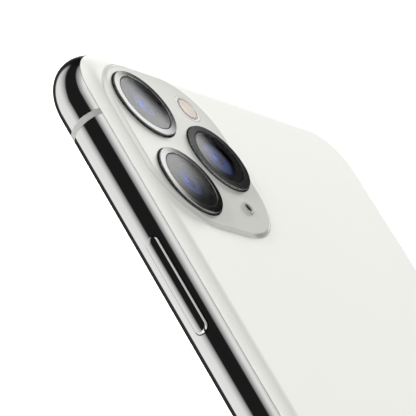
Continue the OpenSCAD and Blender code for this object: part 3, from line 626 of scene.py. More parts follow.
@dataclass
class Band:
    """The steel band in six pieces, with nylon splits between them and openings for what passes through."""

    wall: float = 2.5
    bevel: float = 0.05
    arc_steps: int = 56
    corner_steps: int = 40
    button_w: float = 2.2
    side_button_y: float = 27.95
    side_button_l: float = 16.8
    volume_y: tuple[float, float] = (31.0, 17.0)
    volume_l: float = 10.4
    gap: float = 0.12
    switch_y: float = 43.5
    switch_slot: tuple[float, float] = (6.2, 2.66)
    switch_slot_r: float = 0.5
    tray_y: float = -12.0
    tray_l: float = 14.6
    socket: tuple[float, float] = (8.34, 2.56)
    socket_wall: float = 0.25
    screw_x: float = 6.62
    screw_r: float = 0.8
    speaker_x: tuple[float, float] = (-11.0, -22.0)
    speaker_count: int = 6
    microphone_x: tuple[float, float] = (11.0, 15.4)
    microphone_count: int = 3
    hole_r: float = 0.7

    def section(self, inset: float = 0.0) -> Array:
        """The band's cross-section: an arc of the round edge, then a flat inner wall.

        Args:
            inset: How far the section is shrunk, for the bevel at a piece's end.

        Returns:
            Points as (point, outward distance and height).
        """
        low = math.asin((BAND_BOTTOM - EDGE_R) / EDGE_R)
        high = math.asin((BAND_TOP - EDGE_R) / EDGE_R)
        radius = EDGE_R - inset
        angle = np.linspace(low, high, self.arc_steps)
        arc = np.stack([radius * np.cos(angle), EDGE_R + radius * np.sin(angle)], axis=-1)
        inner = EDGE_R - self.wall
        wall = np.array([[inner, arc[-1, 1]], [inner, EDGE_R], [inner, arc[0, 1]]])
        return np.concatenate([arc, wall])

    def path(self, start: tuple[float, float], end: tuple[float, float],
             corner: tuple[int, int] | None) -> tuple[Array, Array]:
        """Points along the middle line of the round edge, with the outward direction at each.

        Args:
            start: The first point's x and y on the middle line.
            end: The last point's.
            corner: The signs of the corner passed on the way, or None for a straight run.

        Returns:
            The points and the outward unit vectors, each as (point, xy).
        """
        if corner is None:
            share = np.linspace(0, 1, 24)[:, None]
            points = np.array(start) * (1 - share) + np.array(end) * share
            across = np.abs(np.array(end) - np.array(start))[::-1] > 0
            out = np.where(across, np.sign(points), 0.0)
            return points, out
        centre = np.array([corner[0] * CORNER_X, corner[1] * CORNER_Y])
        on_side = abs(abs(start[0]) - CORNER_X - SPINE_R) < 1e-6
        a0 = math.atan2(0, corner[0]) if on_side else math.atan2(corner[1], 0)
        a1 = math.atan2(corner[1], 0) if on_side else math.atan2(0, corner[0])
        if abs(a1 - a0) > math.pi:
            a1 += math.copysign(math.tau, a0 - a1)
        angle = np.linspace(a0, a1, self.corner_steps)
        turn = np.stack([np.cos(angle), np.sin(angle)], axis=-1)
        points = np.concatenate([[start], centre + SPINE_R * turn, [end]])
        out = np.concatenate([turn[:1], turn, turn[-1:]])
        return points, out

    def piece(self, start: tuple[float, float], end: tuple[float, float],
              corner: tuple[int, int] | None, bevel: float) -> Shape:
        """Carries the section along the middle line, shrinking it at both ends for a small bevel.

        Args:
            start: Where the piece starts on the middle line.
            end: Where it ends.
            corner: The corner passed on the way, or None.
            bevel: The size of the bevel at both ends.

        Returns:
            The closed piece.
        """
        points, out = self.path(start, end, corner)
        inset = np.zeros(len(points))
        if bevel > 0:
            lead = (points[1] - points[0]) / np.linalg.norm(points[1] - points[0])
            tail = (points[-2] - points[-1]) / np.linalg.norm(points[-2] - points[-1])
            points = np.concatenate([points[:1], points[:1] + bevel * lead, points[1:-1],
                                     points[-1:] + bevel * tail, points[-1:]])
            out = np.concatenate([out[:1], out, out[-1:]])
            inset = np.concatenate([[bevel], np.zeros(len(points) - 2), [bevel]])
        sections = np.array([self.section(i) for i in inset])
        flat = points[:, None, :] + out[:, None, :] * sections[:, :, :1]
        return skin(np.concatenate([flat, sections[:, :, 1:]], axis=-1))

    def slot_cutter(self, y: float, length: float, side: int) -> Shape:
        """A pill-shaped cutter through a long side.

        Args:
            y: The middle of the slot.
            length: Its length.
            side: -1 for the left side, 1 for the right.

        Returns:
            The cutter.
        """
        half_v = self.button_w / 2 + self.gap
        return bevelled_plug(length / 2 + self.gap, half_v, half_v,
                             side * SIDE_CUT[0], side * SIDE_CUT[1], (0, y, EDGE_R), "x")

    def end_cutter(self, x: float, half_u: float, half_v: float) -> Shape:
        """A round-ended cutter through the bottom end.

        Args:
            x: The middle of the hole.
            half_u: Half its width.
            half_v: Half its height.

        Returns:
            The cutter.
        """
        return bevelled_plug(half_u, half_v, half_v, *END_CUT, (x, 0, EDGE_R), "y")

    def bottom_cutters(self) -> list[Shape]:
        """Returns the cutters of the socket, screw, speaker and microphone holes."""
        holes = [self.end_cutter(0.0, self.socket[0] / 2 + self.socket_wall,
                                 self.socket[1] / 2 + self.socket_wall)]
        holes += [self.end_cutter(s * self.screw_x, self.screw_r, self.screw_r) for s in (-1, 1)]
        places = np.concatenate([np.linspace(*self.speaker_x, self.speaker_count),
                                 np.linspace(*self.microphone_x, self.microphone_count)])
        return holes + [self.end_cutter(x, self.hole_r, self.hole_r) for x in places]

    def build(self) -> None:
        """Builds the six band pieces and the four splits."""
        spine_x, spine_y = CORNER_X + SPINE_R, CORNER_Y + SPINE_R
        half = SPLIT_W / 2
        side_end = SIDE_SPLIT_Y - half
        cap_start = SIDE_SPLIT_Y + half
        left_cuts = [self.slot_cutter(self.side_button_y, self.side_button_l, -1),
                     self.slot_cutter(self.tray_y, self.tray_l, -1)]
        right_cuts = [self.slot_cutter(y, self.volume_l, 1) for y in self.volume_y]
        right_cuts.append(bevelled_plug(self.switch_slot[0] / 2, self.switch_slot[1] / 2, self.switch_slot_r,
                                        *SIDE_CUT, (0, self.switch_y, EDGE_R), "x"))
        plan = [
            ("band_left", (-spine_x, side_end), (-spine_x, -side_end), None, left_cuts),
            ("band_right", (spine_x, -side_end), (spine_x, side_end), None, right_cuts),
            ("band_top_left", (-spine_x, cap_start), (END_SPLIT_X - half, spine_y), (-1, 1), []),
            ("band_top_right", (spine_x, cap_start), (END_SPLIT_X + half, spine_y), (1, 1), []),
            ("band_bottom_left", (-spine_x, -cap_start), (END_SPLIT_X - half, -spine_y), (-1, -1),
             self.bottom_cutters()),
            ("band_bottom_right", (spine_x, -cap_start), (END_SPLIT_X + half, -spine_y), (1, -1), []),
        ]
        for name, start, end, corner, cutters in plan:
            mesh = carve(self.piece(start, end, corner, self.bevel), cutters, name)
            follow_body(mesh)
            place(name, mesh, POLISHED_STEEL, "phone", "polished_steel", (name,), crease=None)
        splits = []
        for sy in (-1, 1):
            splits += [self.piece((sx * spine_x, sy * side_end), (sx * spine_x, sy * cap_start), None, 0.0)
                       for sx in (-1, 1)]
            splits.append(self.piece((END_SPLIT_X - half, sy * spine_y), (END_SPLIT_X + half, sy * spine_y),
                                     None, 0.0))
        mesh = splits[0].joined(*splits[1:]).mesh("antenna_splits")
        follow_body(mesh)
        place("antenna_splits", mesh, SPLIT_NYLON, "phone", "split_plastic", ("antenna_splits",), crease=None)


@dataclass
class RearGlass:
    """The glass back: a satin sheet that rolls over at its rim, and a polished plateau round the lenses."""

    plateau_x: tuple[float, float] = (-32.3, -5.4)
    plateau_y: tuple[float, float] = (38.0, 68.3)
    plateau_r: float = 9.8
    foot: float = 0.5
    brow: float = 0.4
    rim_steps: int = 40
    corner_steps: int = 40
    flat_inset: float = 3.0
    top_insets: tuple[float, float] = (2.5, 5.0)
    plateau_under: float = 7.5

    def surface_z(self, flat: Array) -> Array:
        """The height of the glass: level inside the middle line, and a quarter circle outside it.

        Args:
            flat: Points as (..., xy).

        Returns:
            The height at each point.
        """
        core = np.clip(flat, [-CORNER_X, -CORNER_Y], [CORNER_X, CORNER_Y])
        out = np.maximum(np.linalg.norm(flat - core, axis=-1) - SPINE_R, 0.0)
        return EDGE_R + np.sqrt(np.maximum(EDGE_R ** 2 - out ** 2, 0.0))

    def sheet(self) -> Shape:
        """The satin sheet: loops of the rounded rectangle, out over the rim and back underneath.

        Returns:
            The closed sheet.
        """
        low = math.asin((GLASS_BOTTOM - EDGE_R) / EDGE_R)
        angle = np.linspace(math.pi / 2, low, self.rim_steps)
        outer = [(EDGE_R * math.cos(a), EDGE_R + EDGE_R * math.sin(a)) for a in angle]
        inner_r = EDGE_R - GLASS_T
        end = math.asin((GLASS_BOTTOM - EDGE_R) / inner_r)
        inner = [(inner_r * math.cos(a), EDGE_R + inner_r * math.sin(a))
                 for a in np.linspace(end, math.pi / 2, 8)]
        rows = [(-self.flat_inset, BACK_Z)] + outer + inner + [(-self.flat_inset, BACK_Z - GLASS_T)]
        loops = []
        for out, z in rows:
            outline = rounded_outline(CORNER_X + SPINE_R + out, CORNER_Y + SPINE_R + out, SPINE_R + out,
                                      self.corner_steps)
            loops.append(side_frame(outline, z, (0, 0, 0), "z"))
        return skin(np.array(loops))

    def plateau(self) -> Shape:
        """The polished plateau: outlines that shrink from its foot to its top.

        The height is blended from the glass below to the level top by a smooth step of the distance from
        the outline, so that the foot is a hollow curve and the brow a round one.

        Returns:
            The closed plateau.
        """
        centre = np.array([sum(self.plateau_x) / 2, sum(self.plateau_y) / 2])
        half = np.array([self.plateau_x[1] - self.plateau_x[0], self.plateau_y[1] - self.plateau_y[0]]) / 2
        outwards = np.concatenate([np.linspace(self.foot, -self.brow, 32), [-v for v in self.top_insets]])
        share = np.clip((self.foot - outwards) / (self.foot + self.brow), 0, 1)
        rise = share ** 3 * (10 - 15 * share + 6 * share ** 2)
        loops = []
        for out, part in zip(outwards, rise):
            flat = rounded_outline(half[0] + out, half[1] + out, self.plateau_r + out, 36) + centre
            ground = self.surface_z(flat)
            height = ground + (PLATEAU_Z - ground) * part - 0.004 * (part == 0)
            loops.append(np.concatenate([flat, height[:, None]], axis=1))
        under = loops[0].copy()
        under[:, 2] = self.plateau_under
        return skin(np.array([under] + loops))

    def build(self, wells: list[Shape]) -> None:
        """Builds both parts of the glass and cuts the wells of the lenses, flash and microphone.

        Args:
            wells: The cutters.
        """
        sheet = carve(self.sheet(), wells, "rear_glass_sheet")
        follow_body(sheet, closeness=0.94)
        place("rear_glass_sheet", sheet, SATIN_GLASS, "phone", "rear_glass", ("rear_glass",), crease=None)
        plateau = carve(self.plateau(), wells, "rear_glass_plateau")
        place("rear_glass_plateau", plateau, POLISHED_GLASS, "phone", "rear_glass", ("rear_glass",),
              crease=30.0)


# ---------- Cameras, flash and microphone ----------

@dataclass
class LensUnit:
    """One rear camera as it shows: a steel ring on a skirt painted dark as shade, a sapphire window, a baffle
    and lenses.
    """

    which: str
    centre: tuple[float, float]
    aperture_r: float
    top_finish: Finish
    bead_z: tuple[float, ...] = (8.655, 8.80)
    outer_r: float = 6.0
    flange_r: float = 6.22
    flange_h: float = 0.1
    top_z: float = 8.94
    ring_foot: float = 8.4
    skirt_foot: float = 7.3
    top_fall: float = 0.011
    window_fall: float = 0.015
    mouth_r: float = 4.97
    window_r: float = 4.86
    window_z: tuple[float, float] = (8.44, 8.925)
    barrel_r: float = 3.5
    barrel_top_z: float = 8.1
    barrel_rim_z: tuple[float, float] = (6.3, 6.6)
    small_lens_r: float = 1.15
    flatness: float = 0.07
    well_r: float = 5.3

    def well(self) -> Shape:
        """Returns the cutter that opens the glass under this camera."""
        return glass_cutter(self.well_r, self.centre, 96)

    def ring(self) -> Shape:
        """The lapped ring: its top falls outwards by a hair, between a fine outer and inner chamfer.

        Returns:
            The closed ring.
        """
        r, top = self.outer_r, self.top_z
        brow = top - self.top_fall
        profile = [(r, brow - 0.09), (r, brow - 0.05), (r - 0.015, brow - 0.02), (r - 0.045, brow),
                   (self.mouth_r + 0.03, top), (self.mouth_r, top - 0.03), (self.mouth_r, self.ring_foot),
                   (r - 0.3, self.ring_foot), (r - 0.3, brow - 0.09)]
        return lathe(profile, self.centre, 192, hollow=True)

    def skirt(self) -> Shape:
        """The wall under the ring, painted dark as shade, stepped out to a thin flange that lies on the
        glass.

        Returns:
            The closed ring.
        """
        foot = PLATEAU_Z - 0.25
        step = PLATEAU_Z + self.flange_h
        under = self.top_z - self.top_fall - 0.09
        r = self.outer_r
        profile = [(self.flange_r, foot), (self.flange_r, step - 0.03), (self.flange_r - 0.03, step),
                   (r + 0.03, step), (r + 0.01, step + 0.02), (r + 0.01, under - 0.1),
                   (r - 0.03, under - 0.06), (r - 0.03, under), (self.mouth_r + 0.1, under),
                   (self.mouth_r + 0.1, self.skirt_foot), (self.well_r - 0.03, self.skirt_foot),
                   (self.well_r - 0.03, foot)]
        return lathe(profile, self.centre, 192, hollow=True)

    def beads(self) -> Shape:
        """The bright turned lines round the skirt, each a thin bead of round section.

        Returns:
            The closed beads.
        """
        turn = np.linspace(0, math.tau, 8, endpoint=False)
        rings = [lathe([(self.outer_r + 0.008 + 0.016 * math.cos(t), z + 0.016 * math.sin(t)) for t in turn],
                       self.centre, 160, hollow=True) for z in self.bead_z]
        return rings[0].joined(*rings[1:])

    def gasket(self) -> Shape:
        """Returns the black seal between ring and window."""
        low, high = self.window_z
        profile = [(self.window_r - 0.12, low - 0.05), (self.mouth_r + 0.01, low - 0.05),
                   (self.mouth_r + 0.01, high - 0.005), (self.window_r, high - 0.03),
                   (self.window_r, low - 0.03), (self.window_r - 0.12, low - 0.03)]
        return lathe(profile, self.centre, 128, hollow=True)

    def window(self) -> Shape:
        """The window: a disc whose upper edge is rounded and whose two faces are alike, a hair domed.

        Returns:
            The closed disc.
        """
        low, high = self.window_z
        r = self.window_r - 0.004
        share = np.linspace(1, 0.004, 12)
        dome = [((r - 0.03) * s, high - self.window_fall * s ** 2) for s in share]
        under = [((r - 0.03) * s, low - self.window_fall * s ** 2) for s in share[::-1]]
        side = [(r, low - 0.015), (r, high - 0.05), (r - 0.01, high - 0.03)]
        return lathe(under + side + dome, self.centre)

    def baffle(self) -> Shape:
        """The black ring right under the window, stepped down towards the lens.

        Returns:
            The closed ring.
        """
        top = self.window_z[0] - 0.03
        r = self.aperture_r
        reach = self.window_r - 0.02
        profile = [(reach, top), (r + 0.05, top), (r, top - 0.02), (r, top - 0.06), (reach, top - 0.06)]
        return lathe(profile, self.centre, 128, hollow=True)

    def lens(self) -> Shape:
        """The front element and its barrel: a shallow dome, z falling with the square of the radius.

        Returns:
            The closed piece.
        """
        reach = self.barrel_r
        share = np.linspace(0.004, 1.0, 24)
        dome = [(reach * s, self.barrel_top_z - 0.3 * s ** 2) for s in share]
        low, high = self.barrel_rim_z
        rim = [(reach, high), (reach + 0.4, high), (reach + 0.4, low), (0.02, low)]
        return lathe(dome + rim, self.centre, 96)

    def small_lens(self) -> Shape:
        """The bright inner element: a low dome on the front element, a sphere pressed flat.

        Returns:
            The closed dome.
        """
        angle = np.linspace(0.01, 1.15, 22)
        radius = self.small_lens_r / math.sin(1.15)
        top = self.barrel_top_z + 0.02
        dome = [(radius * math.sin(a), top - radius * (1 - math.cos(a)) * self.flatness) for a in angle]
        return lathe(dome + [(self.small_lens_r, self.barrel_top_z - 0.3), (0.02, self.barrel_top_z - 0.3)],
                     self.centre, 72)

    def build(self) -> None:
        """Builds the ring, skirt, beads, seal, window, baffle and lenses."""
        name = self.which
        node = f"{name}_lens_ring"
        barrel = f"{name}_lens_barrel"
        steel = replace(self.top_finish, name=f"{self.top_finish.name}_{name}", centre=(*self.centre, 0.0))
        place(node, self.ring(), steel, "phone", "ring_steel", (node,), crease=24.0)
        # The skirt's dark steel is painted shade on the ring's wall.
        place(f"{name}_lens_skirt", self.skirt(), SKIRT_STEEL_PAINTED_SHADE, "phone", "ring_steel", (node,), crease=24.0)
        place(f"{name}_lens_beads", self.beads(), POLISHED_STEEL, "phone", "ring_steel", (node,), crease=80.0)
        place(f"{name}_lens_gasket", self.gasket(), LENS_BLACK, "phone", "lens_black", crease=24.0)
        place(f"{name}_lens_window", self.window(), SAPPHIRE, "phone", "lens_glass", (f"{name}_lens_window",))
        place(f"{name}_lens_baffle", self.baffle(), LENS_BLACK, "phone", "lens_black", crease=24.0)
        place(barrel, self.lens(), VIOLET_LENS, barrel, "lens_black", (barrel,))
        place(f"{name}_small_lens", self.small_lens(), COATED_LENS, barrel, "lens_black")


@dataclass
class FlashAndMicrophone:
    """The round flash with its clear lens over phosphor, and the small microphone eyelet."""

    flash: tuple[float, float] = (-11.7, 62.9)
    flash_r: float = 2.5
    flash_top: float = 8.51
    rim_w: float = 0.5
    microphone: tuple[float, float] = (-11.7, 43.5)
    microphone_r: float = 1.1
    bore_r: float = 0.7
    microphone_top: float = 8.7
    eyelet_foot: float = 8.0
    mesh_z: tuple[float, float] = (8.42, 8.52)
    lens_under: float = 8.36
    lamp_z: float = 8.32
    lamp_foot: float = 7.3
    trim_foot: float = 7.5

    def wells(self) -> list[Shape]:
        """Returns the cutters that open the glass for both."""
        return [glass_cutter(self.flash_r + 0.04, self.flash, 80),
                glass_cutter(self.microphone_r - 0.06, self.microphone, 48)]

    def flash_lens(self) -> Shape:
        """The clear lens: a flat middle inside a shallow moulded groove.

        Returns:
            The closed disc.
        """
        r, top = self.flash_r - self.rim_w, self.flash_top - 0.02
        profile = [(0.02, self.lens_under), (r, self.lens_under), (r, top - 0.05), (r - 0.03, top - 0.02),
                   (r - 0.1, top - 0.02), (r - 0.14, top - 0.05), (r - 0.2, top - 0.05), (r - 0.26, top),
                   (0.02, top + 0.01)]
        return lathe(profile, self.flash, 96)

    def flash_trim(self) -> Shape:
        """The pearly ring round the lens: a half-round bead that runs down into the glass.

        Returns:
            The closed ring.
        """
        inner, outer = self.flash_r - self.rim_w + 0.05, self.flash_r
        middle, half = (inner + outer) / 2, (outer - inner) / 2
        turn = np.linspace(0, math.pi, 12)
        bead = [(middle + half * math.cos(t), self.flash_top - 0.06 + 0.07 * math.sin(t)) for t in turn]
        foot = self.trim_foot
        return lathe([(outer, foot)] + bead + [(inner, foot)], self.flash, 96, hollow=True)

    def build(self) -> None:
        """Builds the lens, lamp and eyelet."""
        place("flash_window", self.flash_lens(), FLASH_LENS, "phone", "flash_glass", ("flash_window",),
              crease=24.0)
        share = np.linspace(0.004, 1, 14)
        reach = self.flash_r - self.rim_w
        bed = [(reach * s, self.lamp_z - 0.06 * (1 - s ** 2)) for s in share]
        lamp = lathe(bed + [(reach, self.lamp_foot), (0.02, self.lamp_foot)], self.flash, 72)
        # The phosphor's faint glow is painted light.
        place("flash_lamp", lamp, PHOSPHOR_PAINTED_GLOW, "phone", "lamp_phosphor", ("flash_lamp",))
        place("flash_trim", self.flash_trim(), PEARL_TRIM, "phone", "flash_glass",
              ("flash_window",))
        r, top = self.microphone_r, self.microphone_top
        bore, foot = self.bore_r, self.eyelet_foot
        eyelet = [(r + 0.06, PLATEAU_Z - 0.04), (r, PLATEAU_Z + 0.04), (r, top - 0.05),
                  (r - 0.02, top - 0.015), (r - 0.06, top), (bore + 0.1, top), (bore + 0.02, top - 0.04),
                  (bore, top - 0.14), (bore, foot), (r - 0.08, foot), (r - 0.08, PLATEAU_Z - 0.04)]
        place("rear_mic_eyelet", lathe(eyelet, self.microphone, 64, hollow=True), BLASTED_STEEL, "phone",
              "microphone_can", ("rear_mic",))
        low, high = self.mesh_z
        disc = lathe([(0.02, low), (bore + 0.05, low), (bore + 0.05, high - 0.02), (0.02, high)],
                     self.microphone, 48)
        place("rear_mic_mesh", disc, DUST_MESH, "phone", "black_plastic")


# ---------- Buttons, switch, tray and the bottom end ----------

@dataclass
class Button:
    """A pill-shaped side button with rounded shoulders and a crowned face."""

    name: str
    y: float
    length: float
    side: int
    width: float = 2.2
    face: float = 36.15
    inside: float = 33.6
    shoulder: float = 0.34
    crown: float = 0.1

    def build(self) -> None:
        """Builds the button: shoulders on a quarter circle, then a face that rises by the inset's square."""
        edge = self.face - self.crown
        turn = np.linspace(0, math.pi / 2, 8)
        rows = [(0.0, self.inside)]
        rows += [(self.shoulder * (1 - math.cos(t)), edge - self.shoulder * (1 - math.sin(t))) for t in turn]
        share = np.linspace(0, 1, 12)[1:]
        reach = self.width / 2 - self.shoulder - 0.02
        rows += [(self.shoulder + reach * s, edge + self.crown * (1 - (1 - s) ** 2)) for s in share]
        rows = [(inset, self.side * depth) for inset, depth in rows]
        shape = plug(self.length / 2, self.width / 2, self.width / 2, rows, (0, self.y, EDGE_R), "x", 20)
        place(self.name, shape, POLISHED_STEEL, self.name, "polished_steel", (self.name,), crease=50.0)


@dataclass
class SmallParts:
    """The mute switch, the card tray, and what shows in the bottom end."""

    switch_y: float = 43.5
    switch_z: float = 3.45
    switch_size: tuple[float, float] = (5.2, 1.3)
    switch_face: float = 36.05
    switch_inside: float = 33.4
    tray_y: float = -12.0
    tray_l: float = 14.6
    tray_w: float = 2.2
    ejector_y: float = -6.2
    ejector_r: float = 0.45
    ejector_cut: tuple[float, float] = (-30.0, -40.0)
    tongue_reach: tuple[float, float] = (-65.0, -70.5)
    contact_reach: tuple[float, float] = (-65.5, -70.1)
    contact_half: tuple[float, float] = (0.12, 0.02)
    contact_pitch: float = 0.5
    star_r: float = 0.42
    star_lobe: float = 0.09
    star_depth: float = 0.45
    shank_depth: float = 1.4
    cap_inside: float = -32.9
    tray_tongue: tuple[float, float] = (11.4, 1.1)
    tongue_shift: float = -0.8
    tongue_end: float = -18.25
    pocket_x: tuple[float, float] = (-31.45, -18.95)
    pocket_w: float = 9.0
    pocket_floor: float = 0.3
    tongue: tuple[float, float] = (6.67, 0.69)
    screw_x: float = 6.62
    screw_r: float = 0.8
    screw_depth: float = 1.3

    def switch(self) -> None:
        """Builds the switch tab with three finger grooves across its face."""
        u, v = self.switch_size
        tab = bevelled_plug(u / 2, v / 2, 0.4, self.switch_inside, self.switch_face,
                            (0, self.switch_y, self.switch_z), "x", 0.18)
        grooves = [bevelled_plug(0.12, v / 2 - 0.3, 0.1, self.switch_face - 0.08, self.switch_face + 1,
                                 (0, self.switch_y + d, self.switch_z), "x") for d in (-0.7, 0.0, 0.7)]
        place("mute_switch", carve(tab, grooves, "mute_switch"), POLISHED_STEEL, "mute_switch",
              "polished_steel", ("mute_switch",))

    def tray(self) -> None:
        """Builds the tray: a round-edged cap with the ejector hole, and a tongue with the card's pocket."""
        half_v = self.tray_w / 2
        inset = np.linspace(half_v - 0.02, 0.0, 12)
        rows = [(i, -(HALF_W - EDGE_R) - math.sqrt(EDGE_R ** 2 - (half_v - i) ** 2)) for i in inset]
        rows.append((0.0, self.cap_inside))
        cap = plug(self.tray_l / 2, half_v, half_v, rows, (0, self.tray_y, EDGE_R), "x", 20)
        hole = bevelled_plug(self.ejector_r, self.ejector_r, self.ejector_r, *self.ejector_cut,
                             (0, self.ejector_y, EDGE_R), "x")
        mesh = carve(cap, [hole], "sim_tray")
        place("sim_tray_cap", mesh, POLISHED_STEEL, "sim_tray", "polished_steel", ("sim_tray",), crease=40.0)
        length, thick = self.tray_tongue
        plate = bevelled_plug(length / 2, thick / 2, 0.02, self.cap_inside - 0.02, self.tongue_end,
                              (0, self.tray_y + self.tongue_shift, EDGE_R), "x")
        near, far = self.pocket_x
        pocket = plug(self.pocket_w / 2, 1.0, 0.02, [(0.0, near), (0.0, far)],
                      (0, self.tray_y + self.tongue_shift, EDGE_R - thick / 2 + self.pocket_floor + 1.0), "x")
        mesh = carve(plate, [pocket], "sim_tray_tongue")
        place("sim_tray_tongue", mesh, PRESSED_STEEL, "sim_tray", "polished_steel", ("sim_tray",),
              crease=30.0)

    def bottom(self) -> None:
        """Builds the socket's tongue with its contacts, and the two five-lobed screws."""
        u, v = self.tongue
        tongue = bevelled_plug(u / 2, v / 2, 0.3, *self.tongue_reach, (0, 0, EDGE_R), "y", 0.12)
        place("socket_tongue", tongue, BLACK_PLASTIC, "phone", "black_plastic", ("socket_tongue",))
        places = (np.arange(12) - 5.5) * self.contact_pitch
        strips = [bevelled_plug(*self.contact_half, 0.01, *self.contact_reach,
                                (x, 0, EDGE_R + s * (v / 2)), "y")
                  for x in places for s in (-1, 1)]
        place("socket_contacts", strips[0].joined(*strips[1:]), GOLD_CONTACT, "phone", "case_steel",
              crease=30.0)
        lobes = np.linspace(0, math.tau, 60, endpoint=False)
        outline = np.stack([np.cos(lobes), np.sin(lobes)], axis=-1)
        star = outline * (self.star_r + self.star_lobe * np.cos(5 * lobes))[:, None]
        shank, brim = outline * (self.screw_r - 0.02), outline * (self.screw_r - 0.12)
        head = HALF_L - self.screw_depth
        rows = [(shank, -(head - self.shank_depth)), (shank, -(head - 0.1)), (brim, -head), (star, -head),
                (star * 0.9, -(head - self.star_depth))]
        heads = []
        for s in (-1, 1):
            loops = [side_frame(loop, y, (s * self.screw_x, 0, EDGE_R), "y") for loop, y in rows]
            heads.append(skin(np.array(loops)))
        place("bottom_screws", heads[0].joined(heads[1]), PRESSED_STEEL, "phone", "case_steel",
              ("bottom_screws",))

    def build(self) -> None:
        """Builds all of them."""
        self.switch()
        self.tray()
        self.bottom()


# ---------- CAD pieces that keep their own meshes ----------

CAD_FINISHES: dict[str, Finish] = {
    "front_glass": COVER_GLASS, "display_panel": DISPLAY_FILM, "display_shield": ROLLED_ALUMINIUM,
    "display_gasket": BLACK_PLASTIC, "chassis_plate": ROLLED_ALUMINIUM, "upper_camera": SENSOR_BLACK,
    "lower_camera": SENSOR_BLACK, "inner_camera": SENSOR_BLACK, "camera_bracket": PRESSED_STEEL,
    "side_button_flex": FLEX_FILM, "volume_flex": FLEX_FILM, "mute_switch_base": BLACK_PLASTIC,
    "sim_card": CARD_PLASTIC, "sim_reader": PRESSED_STEEL,
    "charging_socket": PRESSED_STEEL, "loudspeaker": BLACK_PLASTIC, "dust_meshes": DUST_MESH,
    "haptic_case": PRESSED_STEEL, "haptic_mass": MICROPHONE_CAN, "bottom_mic": MICROPHONE_CAN,
    "earpiece": BLACK_PLASTIC, "front_sensors": SENSOR_BLACK, "front_camera": SENSOR_BLACK,
    "battery": BATTERY_FOIL, "battery_tabs": CARD_PLASTIC, "logic_board": CIRCUIT_BOARD,
    "radio_board": CIRCUIT_BOARD, "board_spacer": BLACK_PLASTIC, "board_shield": PRESSED_STEEL,
    "charging_coil": COPPER_WIRE, "coil_shield": FERRITE_SHEET, "socket_flex": FLEX_FILM,
    "inside_screws": PRESSED_STEEL,
}


def dress_cad(nodes: dict[str, bpy.types.Object]) -> None:
    """Gives every CAD piece that still shows its procedural finish.

    Args:
        nodes: The CAD nodes by name.
    """
    for name, finish in CAD_FINISHES.items():
        piece = nodes[name]
        piece.data.materials.clear()
        piece.data.materials.append(finish.build())
    LOG.info("dressed %d CAD pieces", len(CAD_FINISHES))


# ---------- Studio and camera ----------

@dataclass(frozen=True)
class Change:
    """A change from one level to another while an angle runs between two values, in degrees."""

    low: float
    high: float
    start: float
    end: float


